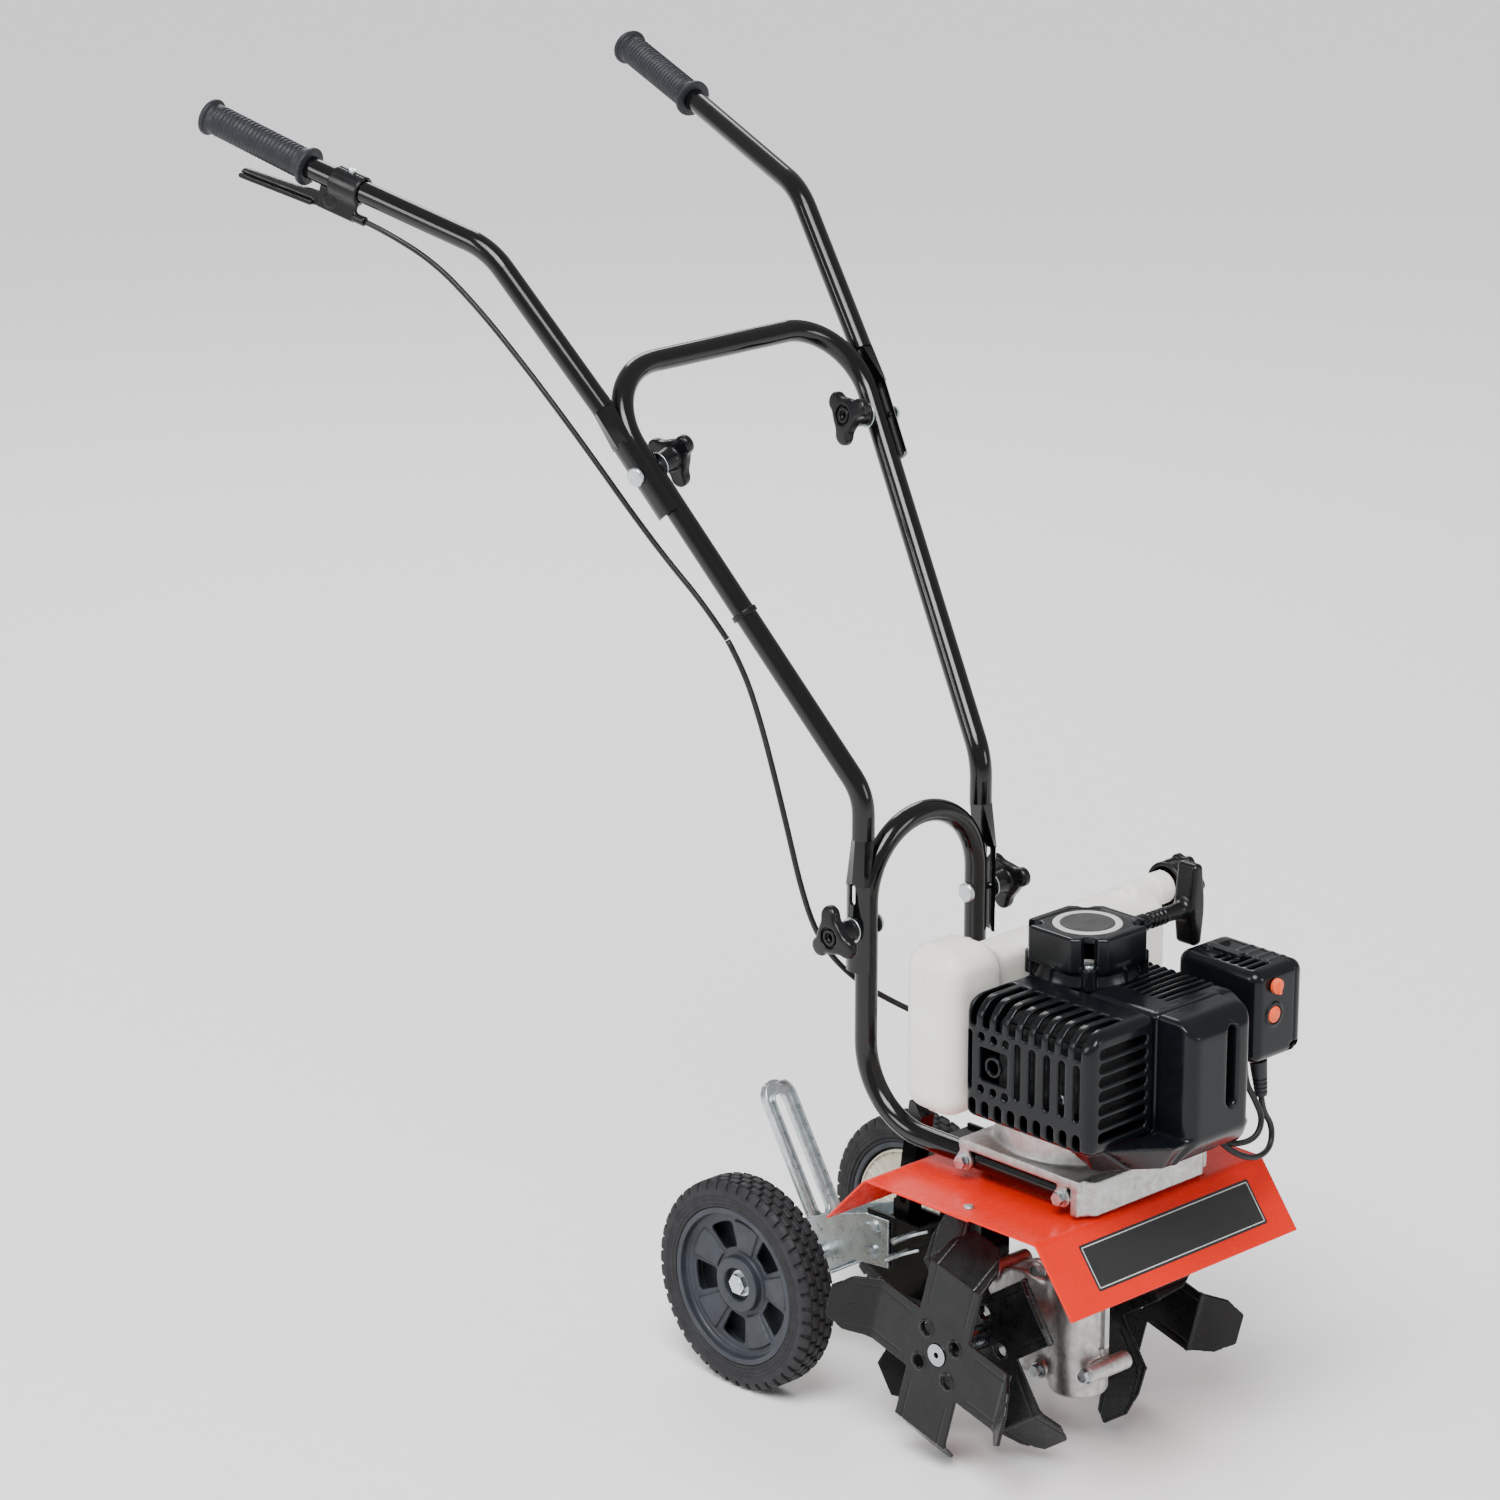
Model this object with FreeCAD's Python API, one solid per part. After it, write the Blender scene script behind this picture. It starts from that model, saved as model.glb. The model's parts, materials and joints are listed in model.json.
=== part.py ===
"""Walk-behind mini tiller with a vertical-shaft petrol engine, in millimetres.

Axes: +X is the operator's left, -Y is the front (engine and front guard), +Z is up.
The model is drawn with the tine shaft at y = 0, and moved by ORIGIN_Y when it is written,
so that the row's origin is the middle of the bounding box, on the ground.
"""
import FreeCAD, Part
import math
import os

V = FreeCAD.Vector
X, Y, Z = V(1, 0, 0), V(0, 1, 0), V(0, 0, 1)
O = V(0, 0, 0)

# ---- whole machine -------------------------------------------------------
ORIGIN_Y = -283.0         # moves the middle of the box to y = 0
RUN = 0.3                 # gap kept between bodies that move past each other
FIT = 0.05                # radial clearance of a shaft in its bore

# ---- handle tubes --------------------------------------------------------
TUBE_R = 9.53             # 3/4 inch tube
TUBE_WALL = 1.6
ARCH_X = 64.8             # half spacing of the base arch
ARCH_Y = 138.2
ARCH_TOP = 515.3
RAIL_Z = 263.3
RAIL_FRONT = -112.0
RAIL_BEND = 68.0
FOLD_Z = 431.1            # lower handle pivot
KNEE = V(69.6, 139.2, 546.0)
U_CORNER = V(149.0, 381.4, 869.3)
U_BEND = 60.0
UPPER_JOINT = 0.775       # share of the way from KNEE to U_CORNER
UPPER_KNEE = V(178.1, 470.1, 965.1)
GRIP_IN = V(219.0, 640.5, 1011.4)
GRIP_END = V(241.2, 756.7, 1044.9)
CRUSH_WALL = 3.2          # two tube walls pressed together
CRUSH_R = 16.0
CRUSH_HALF = 13.5
BOLT_R = 3.0              # M6 carriage bolts
HEAD_R = 8.4
HEAD_T = 3.4

# ---- knobs ---------------------------------------------------------------
KNOB_R = 27.0
KNOB_LOBE_R = 8.5
KNOB_T = 12.0
KNOB_HUB_R = 10.5
KNOB_HUB_L = 15.0

# ---- tines ---------------------------------------------------------------
TINE_Z = 106.0
TINE_REACH = 39.5         # length of a blade's bent tip
TINE_X = (118.3, 66.0)    # outer faces of the outer and inner star
TINE_T = 3.0
TINE_FOLD = 76.0          # radius at which a blade's tip is bent
TINE_HALF = 29.0
TINE_LEAN = 15.0          # turn of the star, degrees
TINE_BEND = 45.0          # bend of a blade's tip, degrees
INNER_TURN = 41.0         # turn of the inner star against the outer one
SHAFT_R = 9.5
SHAFT_HALF = 119.5

# ---- gear case -----------------------------------------------------------
WORM_Y = -49.0
WORM_R = 10.7
WORM_ROOT_R = 7.4
WHEEL_R = 38.0
CASE_COLUMN_R = 25.0
CASE_BOTTOM = 55.0
CASE_TOP = 246.0
CASE_HALF = 17.0

# ---- base casting and guards --------------------------------------------
BASE_X = 78.5
BASE_FRONT, BASE_REAR = -116.0, 17.0
BASE_TOP, BASE_BOTTOM = 282.0, 248.4
BASE_PLATE = 8.6
BASE_NECK_R = 34.0
LIP_T = 4.0                # the deck's lip along the inner side of a rail
LUG_R = 8.5               # lugs of the rail bolts
BELL_R, BELL_TOP, BELL_WALL = 73.0, 321.6, 5.0
BELL_FLARE = 3.0
RAIL_BOLTS_Y = (10.8, -97.7)
GUARD_X = 136.6
GUARD_Z = 247.0
GUARD_T = 1.5
GUARD_FOLD = -123.9
GUARD_LIP = (-164.3, 194.1)
REAR_FOLD = 67.5
REAR_LIP = (111.2, 200.0)
GUARD_SEAM = -41.0

# ---- wheels and carriage -------------------------------------------------
WHEEL_X = 125.4
WHEEL_W = 37.0
WHEEL_RAD = 93.5
WHEEL_Y = 237.8
RIM_R = 70.0
AXLE_R = 6.0
NUT_DEPTH = 14.0           # seat of a wheel nut, below the tyre's outer side
BOSS_BORE_R = 14.5
ARM_TOP = (319.0, 226.0)
ARM_FOOT = (249.0, 113.0)
ARM_HALF = 18.0
STAKE_TOP = V(0, 134.6, 258.0)
STAKE_FOOT = V(0, 167.5, 50.0)
STAKE_HALF = 8.0
STAKE_PITCH = 32.0
TILT_PIVOT = (172.5, 137.8)
TILT_LOCK = (173.5, 115.3)
TILT_RANGE = 35.0         # how far the wheel carriage tilts, degrees
LOCK_HALF = 3.3           # half width of the lock bolt's arc slot
PIN_PLACES = ((148.0, 118.0), (138.0, 138.0))   # hitch pins, (y, z)

# ---- engine --------------------------------------------------------------
CRANK_Y = WORM_Y
SHROUD = (-35.5, 75.0, -159.0, -14.0, 326.0, 424.0)
NOSE = (-35.5, 34.0, -196.0, -159.0, 300.0, 424.0)
MUFF_GUARD = (-113.0, -36.0, -159.0, -20.0, 326.0, 424.0)
AIR_BOX = (76.0, 136.0, -165.0, -77.0, 352.0, 432.0)
TANK = (-112.0, 153.0, -6.0, 54.0, 308.0, 450.0)
LID_Z = 466.5
LID_R = 47.5
RECOIL_Z = 424.2
RECOIL_FEET = ((-31, -80), (31, -80), (-31, -18), (31, -18))
FOOT_Z = 443.0            # seat of the starter housing's screws
FOOT_R = 6.5
TANK_DIP = ((-46.0, 435.0), (48.0, 435.0), (92.0, 441.0), (160.0, 441.0))   # the tank's top, (x, z)
CAP_C = V(170.0, 20.0, 438.5)
CAP_R = 21.0
CAP_L = 27.0
CAP_FLUTES = 16
FILLER_R = 14.0
PULL_C = V(112.0, -58.0, 456.0)
CHOKE = (98.0, 418.0)      # choke knob, (x, z)
PRIMER = (98.0, 393.0)     # primer button, (x, z)
PRIMER_R = 7.0
SKIRT_BOTTOM = 303.0
SKIRT_PLAN = ((-104, -146), (-71, -166), (-50, -186), (-33, -190), (-33, -128), (-104, -128))
CYL_HALF = 32.0                  # half width of the cooling fins
BORE_R = 18.0
BORE_Z = 364.0                   # height of the cylinder's axis
HEAD_Y = -138.0                  # outer face of the cylinder head
INTAKE_Y = -104.0
FIN_COUNT, FIN_PITCH, FIN_T = 9, 6.4, 2.0
CRANK_R = 8.0
WEB_R, WEB_T = 27.0, 14.0
WEB_PLACES = (344.0, 370.0)
FLYWHEEL_Z, FLYWHEEL_R, FLYWHEEL_VANES = 399.5, 30.0, 12
MUFFLER = (-104, -40, -142, -52, 334, 412)
MUFFLER_WALL = 2.0
SLOT_R = 2.8                     # vent slots of the muffler guard
VENT_DEPTH = 12.0
COVER_WALL = 3.0
SCREW_R = 1.95                   # starter screws
AIR_FILTER = (82, 100, -150, -90, 360, 420)

# cords
CABLE_R = 2.5
LEAD_R = 2.6
BOOT_TOP = V(98, -150, 350.5)
BOOT_WAY = V(0.16, 0, -0.987).normalize()
BOOT_L = 34.0


# ---- helpers ------------------------------------------------------------
def box(x0, x1, y0, y1, z0, z1):
    return Part.makeBox(x1 - x0, y1 - y0, z1 - z0, V(x0, y0, z0))


def rod(start, direction, radius, length):
    return Part.makeCylinder(radius, length, start, direction)


def fuse(shapes):
    shapes = list(shapes)
    if len(shapes) == 1:
        return shapes[0]
    return shapes[0].multiFuse(shapes[1:]).removeSplitter()


def cut(shape, tools):
    return shape.cut(list(tools))


def mirrored(shape):
    return shape.mirror(O, X)


def prism(points, direction):
    """A solid with the outline's points, extruded along direction."""
    wire = Part.makePolygon(points + [points[0]])
    return Part.Face(wire).extrude(direction)


def side_plate(outline, x0, x1):
    """A flat plate across X from a list of (y, z) points."""
    return prism([V(x0, y, z) for y, z in outline], V(x1 - x0, 0, 0))


def round_edges(shape, radius, along):
    """Round the straight edges that run along a direction."""
    edges = []
    for edge in shape.Edges:
        if isinstance(edge.Curve, (Part.Line, Part.LineSegment)):
            if abs(edge.Curve.Direction.dot(along)) > 0.999:
                edges.append(edge)
    return shape.makeFillet(radius, edges)


def soft_box(limits, radius, along):
    return round_edges(box(*limits), radius, along)


def shrunk(limits, wall):
    """The limits of a box's hollow, wall inside every face."""
    x0, x1, y0, y1, z0, z1 = limits
    return (x0 + wall, x1 - wall, y0 + wall, y1 - wall, z0 + wall, z1 - wall)


def slot(start, end, radius, direction, depth):
    """A round-ended slot cutter between two centres."""
    along = end - start
    across = direction.cross(along).normalize() * radius
    middle = prism([start - across, end - across, end + across, start + across], direction * depth)
    return fuse([rod(start, direction, radius, depth), rod(end, direction, radius, depth), middle])


def ring_face(centre, normal, outer, inner):
    face = Part.Face(Part.Wire(Part.makeCircle(outer, centre, normal)))
    if inner > 0:
        face = face.cut(Part.Face(Part.Wire(Part.makeCircle(inner, centre, normal))))
    return face


def corner_radius(points, index):
    """Bend radius of a cord: 0.45 of the shorter run over the tangent of half the turn."""
    before = points[index] - points[index - 1]
    after = points[index + 1] - points[index]
    shorter = min(before.Length, after.Length)
    return 0.45 * shorter / math.tan(before.getAngle(after) / 2)


def bent_tube(points, radii, outer, inner=0.0):
    """Straight runs joined by tangent arcs, round in section."""
    pieces = []
    start = points[0]
    for index in range(1, len(points)):
        corner = points[index]
        way = (corner - points[index - 1]).normalize()
        last = index == len(points) - 1
        if last:
            end = corner
        else:
            after = (points[index + 1] - corner).normalize()
            turn = way.getAngle(after)
            radius = radii[index - 1]
            end = corner - way * (radius * math.tan(turn / 2))
        run = end - start
        if run.Length > 0.01:
            pieces.append(ring_face(start, way, outer, inner).extrude(run))
        if not last:
            toward = (after - way * way.dot(after)).normalize()
            axis = way.cross(after).normalize()
            face = ring_face(end, way, outer, inner)
            pieces.append(face.revolve(end + toward * radius, axis, math.degrees(turn)))
            start = corner + after * (radius * math.tan(turn / 2))
    return fuse(pieces)


def hexagon(centre, direction, across, height):
    """A hexagonal prism, across the flats, standing on centre."""
    side = direction.cross(Z)
    if side.Length < 0.1:
        side = direction.cross(X)
    side.normalize()
    other = direction.cross(side).normalize()
    radius = across / math.sqrt(3)
    points = []
    for step in range(6):
        angle = math.radians(60 * step)
        points.append(centre + side * (radius * math.cos(angle)) + other * (radius * math.sin(angle)))
    return prism(points, direction.normalize() * height)


def flange_bolt(head_at, direction, shank_r, shank_l, across=10.0):
    """A hexagon flange bolt; direction points from the shank to the head."""
    flange = rod(head_at, direction, across * 0.68, 1.4)
    head = hexagon(head_at + direction * 1.4, direction, across, 4.6)
    shank = rod(head_at - direction * shank_l, direction, shank_r, shank_l)
    return fuse([flange, head, shank])


# ---- frame --------------------------------------------------------------
def arch_points():
    return [V(-ARCH_X, RAIL_FRONT, RAIL_Z), V(-ARCH_X, ARCH_Y, RAIL_Z), V(-ARCH_X, ARCH_Y, ARCH_TOP),
            V(ARCH_X, ARCH_Y, ARCH_TOP), V(ARCH_X, ARCH_Y, RAIL_Z), V(ARCH_X, RAIL_FRONT, RAIL_Z)]


def make_arch_tube():
    tube = bent_tube(arch_points(), [RAIL_BEND, ARCH_X, ARCH_X, RAIL_BEND], TUBE_R, TUBE_R - TUBE_WALL)
    holes = [rod(V(-100, ARCH_Y, FOLD_Z), X, BOLT_R + FIT, 200)]
    for y in RAIL_BOLTS_Y:
        holes.append(rod(V(-100, y, RAIL_Z), X, BOLT_R + FIT, 200))
    return cut(tube, holes)


def make_base_casting():
    """Aluminium deck on the rails, with lugs for the rail bolts and the clutch's bell on top."""
    deck = box(-BASE_X, BASE_X, BASE_FRONT, BASE_REAR, BASE_TOP - BASE_PLATE, BASE_TOP)
    beside = ARCH_X + TUBE_R + FIT
    inner_lip = ARCH_X - TUBE_R - FIT
    hangers = [box(inner_lip - LIP_T, inner_lip, BASE_FRONT, BASE_REAR, BASE_BOTTOM, BASE_TOP),
               box(beside, BASE_X, BASE_FRONT, BASE_FRONT + LUG_R, BASE_BOTTOM, BASE_TOP)]
    for y in RAIL_BOLTS_Y:
        hangers.append(box(beside, BASE_X, y - LUG_R, y + LUG_R, RAIL_Z, BASE_TOP))
        hangers.append(rod(V(beside, y, RAIL_Z), X, LUG_R, BASE_X - beside))
    hangers += [mirrored(hanger) for hanger in hangers]
    rib_x = inner_lip - LIP_T + 0.1
    ribs = [box(-rib_x, rib_x, y - 2, y + 2, BASE_BOTTOM, BASE_TOP) for y in (BASE_FRONT + 2, BASE_REAR - 2)]
    neck = rod(V(0, WORM_Y, BASE_BOTTOM), Z, BASE_NECK_R, BASE_TOP - BASE_BOTTOM)
    bell = Part.makeCone(BELL_R - BELL_FLARE, BELL_R, BELL_TOP - BASE_TOP, V(0, WORM_Y, BASE_TOP), Z)
    nose_front = box(-42, 42, BASE_FRONT - 8, BASE_FRONT + 6, BASE_BOTTOM, BASE_TOP - 4)
    body = fuse([deck, neck, bell, nose_front] + hangers + ribs)
    hollow = rod(V(0, WORM_Y, BASE_TOP - 2), Z, BELL_R - BELL_FLARE - BELL_WALL, BELL_TOP - BASE_TOP + 4)
    bore = rod(V(0, WORM_Y, BASE_BOTTOM - 1), Z, 13.0 + FIT, 60)
    holes = [rod(V(-100, y, RAIL_Z), X, BOLT_R + FIT, 200) for y in RAIL_BOLTS_Y]
    return cut(body, [hollow, bore] + holes)


def guard_sheet(outline):
    """A folded sheet guard from its (y, z) centre line, front to rear."""
    upper = [V(-GUARD_X, y, z) for y, z in outline]
    lower = [V(-GUARD_X, y, z - GUARD_T) for y, z in reversed(outline)]
    return prism(upper + lower, V(2 * GUARD_X, 0, 0))


def make_front_guard():
    outline = [GUARD_LIP, (GUARD_FOLD, GUARD_Z), (GUARD_SEAM + 12, GUARD_Z)]
    column = rod(V(0, WORM_Y, 150), Z, CASE_COLUMN_R + 12, 150)
    return cut(guard_sheet(outline), [column] + guard_screw_holes())


def make_rear_guard():
    low = GUARD_Z - GUARD_T
    outline = [(GUARD_SEAM - 8, low), (REAR_FOLD, low), REAR_LIP]
    column = rod(V(0, WORM_Y, 150), Z, CASE_COLUMN_R + 12, 150)
    sheet = guard_sheet(outline)
    bracket_gap = box(-20, 20, 41, 125, 150, 300)
    return cut(sheet, [column, bracket_gap] + guard_screw_holes())


def guard_screw_holes():
    return [rod(V(x, -35, 200), Z, 2.35, 80) for x in (-119.7, 119.7)]


def make_guard_screws():
    """Pan-head screws that hold the guards, the muffler guard and the starter housing."""
    screws = []
    for x in (-119.7, 119.7):
        screws.append(pan_screw(V(x, -35, GUARD_Z), Z, 4.6, 5))
    for x, y in RECOIL_FEET:
        screws.append(pan_screw(V(x, y, FOOT_Z), Z, 3.8, 22))
    return Part.makeCompound(screws)


def pan_screw(seat, direction, head_r, length):
    head = rod(seat, direction, head_r, 2.6)
    dome = round_top(head, direction, 1.2)
    return fuse([dome, rod(seat - direction * length, direction, head_r * 0.5, length)])


def round_top(cylinder, direction, radius):
    """Round the far rim of a cylinder."""
    far = None
    reach = None
    for edge in cylinder.Edges:
        if isinstance(edge.Curve, Part.Circle):
            along = edge.Curve.Center.dot(direction)
            if reach is None or along > reach:
                reach = along
                far = edge
    return cylinder.makeFillet(radius, [far])


# ---- gear case and drive -------------------------------------------------
def case_solid():
    """Outside of the worm gear case: column, wheel drum and shaft bosses."""
    column = rod(V(0, WORM_Y, CASE_BOTTOM + 8), Z, CASE_COLUMN_R, CASE_TOP - CASE_BOTTOM - 8)
    base = Part.makeCone(CASE_COLUMN_R - 8, CASE_COLUMN_R, 8, V(0, WORM_Y, CASE_BOTTOM), Z)
    drum = rod(V(-CASE_HALF, 0, TINE_Z), X, WHEEL_R + 7, 2 * CASE_HALF)
    web = box(-CASE_HALF, CASE_HALF, WORM_Y, 0, TINE_Z - 44, TINE_Z + 44)
    bosses = rod(V(-34, 0, TINE_Z), X, 19, 68)
    collar = rod(V(0, WORM_Y, CASE_TOP - 12), Z, CASE_COLUMN_R + 8, 12)
    ears = [rod(V(-24, y, z), X, 8, 48) for y, z in case_bolt_places()]
    ribs = [box(-2.5, 2.5, WORM_Y - CASE_COLUMN_R - 7, WORM_Y, 120, CASE_TOP - 6)]
    return fuse([column, base, drum, web, bosses, collar] + ears + ribs)


def case_bolt_places():
    return [(-26, 72), (WORM_Y - 31, 84), (WORM_Y - 31, 190), (34, 140), (-24, 162)]


def case_hollow():
    wheel = rod(V(-8.5, 0, TINE_Z), X, WHEEL_R + 0.8, 17)
    worm = rod(V(0, WORM_Y, CASE_BOTTOM + 9), Z, 13.0 + FIT, 300)
    bearing = rod(V(-34.5, 0, TINE_Z), X, 15.0, 69)
    bolts = [rod(V(-60, y, z), X, BOLT_R + FIT, 120) for y, z in case_bolt_places()]
    return [wheel, worm, bearing] + bolts


def make_case_half(sign):
    """The -X half for sign -1, the +X half for sign 1, split on the middle plane."""
    whole = cut(case_solid(), case_hollow())
    half = box(-200, 0, -200, 200, 0, 300) if sign < 0 else box(0, 200, -200, 200, 0, 300)
    return whole.common(half)


def make_bearings():
    """Shaft bearings of the tine shaft and of the worm shaft."""
    rings = []
    for x in (-33.5, 24.5):
        ring = rod(V(x, 0, TINE_Z), X, 15.0 - FIT, 9.0)
        rings.append(ring.cut(rod(V(x, 0, TINE_Z), X, SHAFT_R + FIT, 9.0)))
    for z in (CASE_BOTTOM + 9.5, CASE_TOP - 12):
        ring = rod(V(0, WORM_Y, z), Z, 13.0, 8.0)
        rings.append(ring.cut(rod(V(0, WORM_Y, z), Z, 6.0 + FIT, 8.0)))
    return Part.makeCompound(rings)


def make_worm_shaft():
    shaft = rod(V(0, WORM_Y, CASE_BOTTOM + 10), Z, 6.0, 234.5)
    worm = rod(V(0, WORM_Y, TINE_Z - 26), Z, WORM_ROOT_R, 52)
    pitch = 6.28
    turns = [thread_ring(TINE_Z - 22 + step * pitch) for step in range(8)]
    return fuse([shaft, worm] + turns)


def thread_ring(z):
    """One crest of the worm."""
    lower = Part.makeCone(WORM_ROOT_R, WORM_R, 1.4, V(0, WORM_Y, z - 1.9), Z)
    crest = rod(V(0, WORM_Y, z - 0.5), Z, WORM_R, 1.0)
    upper = Part.makeCone(WORM_R, WORM_ROOT_R, 1.4, V(0, WORM_Y, z + 0.5), Z)
    return fuse([lower, crest, upper])


def make_clutch_drum():
    z0 = BASE_TOP + 5
    cup = rod(V(0, WORM_Y, z0), Z, 39, 22).cut(rod(V(0, WORM_Y, z0 + 3), Z, 36.5, 20))
    hub = rod(V(0, WORM_Y, z0), Z, 12, 13)
    return fuse([cup, hub]).cut(rod(V(0, WORM_Y, z0 - 1), Z, 6.0 + 0.01, 16))


def make_worm_wheel():
    teeth = 24
    disc = rod(V(-7.5, 0, TINE_Z), X, WHEEL_R, 15)
    gaps = []
    for step in range(teeth):
        angle = 2 * math.pi * step / teeth
        way = V(0, math.cos(angle), math.sin(angle))
        centre = V(-8, 0, TINE_Z) + way * (WHEEL_R + 1.2)
        gaps.append(rod(centre, X, 3.2, 16))
    bore = rod(V(-9, 0, TINE_Z), X, SHAFT_R + 0.01, 18)
    return cut(disc, gaps + [bore])


def make_tine_shaft():
    shaft = rod(V(-SHAFT_HALF, 0, TINE_Z), X, SHAFT_R, 2 * SHAFT_HALF)
    pins = [rod(V(x, 0, TINE_Z - 20), Z, 3.1, 40) for x in (-107, -55, 55, 107)]
    centre_holes = [rod(V(x, 0, TINE_Z), X, 2.6, 14) for x in (-SHAFT_HALF, SHAFT_HALF - 14)]
    return cut(shaft, pins + centre_holes)


def blade(angle, out):
    """One blade of a star, in the plane x = 0; its tip is bent out by the sign of out."""
    flat = box(0, TINE_T, -TINE_HALF, TINE_HALF, 14, TINE_FOLD)
    bend = math.radians(TINE_BEND)
    reach = TINE_REACH
    fold_half = TINE_HALF
    end_half = TINE_HALF * 0.52
    step_x = out * math.sin(bend)
    step_z = math.cos(bend)
    low = [V(0, -fold_half, 0), V(0, fold_half, 0)]
    mid = [V(step_x * reach * 0.6, fold_half * 0.92, step_z * reach * 0.6),
           V(step_x * reach * 0.6, -fold_half * 0.92, step_z * reach * 0.6)]
    end = [V(step_x * reach, end_half, step_z * reach), V(step_x * reach, -end_half, step_z * reach)]
    outline = [low[0], low[1], mid[0], end[0], end[1], mid[1]]
    thick = V(step_z, 0, -step_x) * TINE_T
    tip = prism(outline, thick)
    tip.translate(V(0 if out < 0 else TINE_T * (1 - step_z), 0, TINE_FOLD - 0.4))
    solid = fuse([flat, tip])
    solid.rotate(O, X, angle)
    return solid


def star(x_face, side, outward_first):
    """A four-blade tine star with its hub; x_face is the outer face, side is its sign."""
    blades = []
    for step in range(4):
        out = 1 if (step % 2 == 0) == outward_first else -1
        blades.append(blade(TINE_LEAN + 90 * step, out))
    centre = rod(O, X, 33, TINE_T)
    sleeve = rod(V(-22, 0, 0), X, 14.5, 22 + TINE_T)
    body = fuse([centre, sleeve] + blades)
    holes = [rod(V(-30, 0, 0), X, SHAFT_R + 0.01, 60)]
    for step in range(4):
        angle = math.radians(TINE_LEAN + 45 + 90 * step)
        holes.append(rod(V(-5, -23.5 * math.sin(angle), 23.5 * math.cos(angle)), X, 6, 15))
    holes.append(rod(V(-12, 0, -30), Z, 3.1, 60))
    body = cut(body, holes)
    body.translate(V(x_face - TINE_T, 0, 0))
    if side < 0:
        body = mirrored(body)
    body.translate(V(0, 0, TINE_Z))
    return body


def make_tines(side):
    """The outer and the inner star of one side, as two solids."""
    inner = star(TINE_X[1], side, True)
    inner.rotate(V(0, 0, TINE_Z), X, INNER_TURN)
    return Part.makeCompound([star(TINE_X[0], side, False), inner])


# ---- wheels --------------------------------------------------------------
def revolved(profile, centre, direction=X):
    """Revolve (along, radius) points about an axis through centre; direction is +X or -X."""
    points = [centre + direction * along + Z * radius for along, radius in profile]
    face = Part.Face(Part.makePolygon(points + [points[0]]))
    return face.revolve(centre, X, 360)


def make_tyre(side):
    w = WHEEL_W
    r = WHEEL_RAD
    profile = [(0, RIM_R), (0.5, r - 14), (3, r - 5), (9, r - 1), (w / 2, r),
               (w - 9, r - 1), (w - 3, r - 5), (w - 0.5, r - 14), (w, RIM_R)]
    centre = V(side * (WHEEL_X - w), WHEEL_Y, WHEEL_RAD)
    return revolved(profile, centre, X * side)


def make_wheel_hub(side):
    w = WHEEL_W
    profile = [(0, AXLE_R + FIT), (0, 14), (6, 16), (8, 30), (8, RIM_R - 8), (1.5, RIM_R - 5),
               (1.5, RIM_R), (w - 1.5, RIM_R), (w - 1.5, RIM_R - 5), (w - 8, RIM_R - 10),
               (w - 10, 26), (w - 6, 22.5), (w - 6, BOSS_BORE_R), (w - NUT_DEPTH, BOSS_BORE_R),
               (w - NUT_DEPTH, AXLE_R + FIT)]
    centre = V(side * (WHEEL_X - w), WHEEL_Y, WHEEL_RAD)
    return revolved(profile, centre, X * side)


def make_wheel_axle():
    nut_x = WHEEL_X - NUT_DEPTH + RUN
    half = nut_x + 8
    axle = rod(V(-half, WHEEL_Y, WHEEL_RAD), X, AXLE_R, 2 * half)
    inner_stop = WHEEL_X - WHEEL_W - RUN
    nuts = []
    for side in (-1, 1):
        nuts.append(rod(V(side * nut_x, WHEEL_Y, WHEEL_RAD), X * side, 11.5, 1.8))
        nuts.append(hexagon(V(side * (nut_x + 1.5), WHEEL_Y, WHEEL_RAD), X * side, 16, 6))
        nuts.append(rod(V(side * inner_stop, WHEEL_Y, WHEEL_RAD), X * -side, 11, 2))
    return fuse([axle] + nuts)


def make_wheel_bracket():
    """Zinc-plated carriage: two cheeks on the stake bracket and the slotted height arm."""
    lean = V(0, ARM_TOP[0] - ARM_FOOT[0], ARM_TOP[1] - ARM_FOOT[1])
    up = V(lean).normalize()
    back = V(0, up.z, -up.y)
    foot = V(0, ARM_FOOT[0], ARM_FOOT[1])
    top = V(0, ARM_TOP[0], ARM_TOP[1])
    low = foot - up * 22
    plate = prism([low - X * ARM_HALF, low + X * ARM_HALF, top - up * ARM_HALF + X * ARM_HALF,
                   top - up * ARM_HALF - X * ARM_HALF], back * 2.5)
    head = rod(top - up * ARM_HALF, back, ARM_HALF, 2.5)
    arm = fuse([plate, head])
    rims = []
    for side in (-1, 1):
        edge = X * (side * ARM_HALF)
        inner = X * (side * (ARM_HALF - 2.5))
        rims.append(prism([low + inner, low + edge, top - up * ARM_HALF + edge,
                           top - up * ARM_HALF + inner], back * -6))
    cheeks = []
    outline = [(153, 150), (182, 149), (236, 131), (262, 118), (250, 80), (226, 80), (196, 100),
               (182, 101), (153, 104)]
    for x0 in (-20.3, 17.8):
        cheeks.append(side_plate(outline, x0, x0 + 2.5))
    web = box(-20.3, 20.3, 222, 246, 78.5, 81)
    barrel = rod(foot - up * 24 + back * -5 + X * -10, up, 5.5, 26)
    body = fuse([arm] + rims + cheeks + [web, barrel])
    slot_end = top - up * (ARM_HALF + 2) - back * 10
    opening = slot(foot + up * 12 - back * 10, slot_end, 6.0, back, 30)
    axle = rod(V(-60, WHEEL_Y, WHEEL_RAD), X, AXLE_R + 0.01, 120)
    pivot = rod(V(-60, *TILT_PIVOT), X, 3.1, 120)
    axle_sleeve = rod(V(-17.8, WHEEL_Y, WHEEL_RAD), X, 9.0, 35.6)
    return cut(fuse([body, axle_sleeve]), [opening, axle, pivot] + lock_slot())


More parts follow.
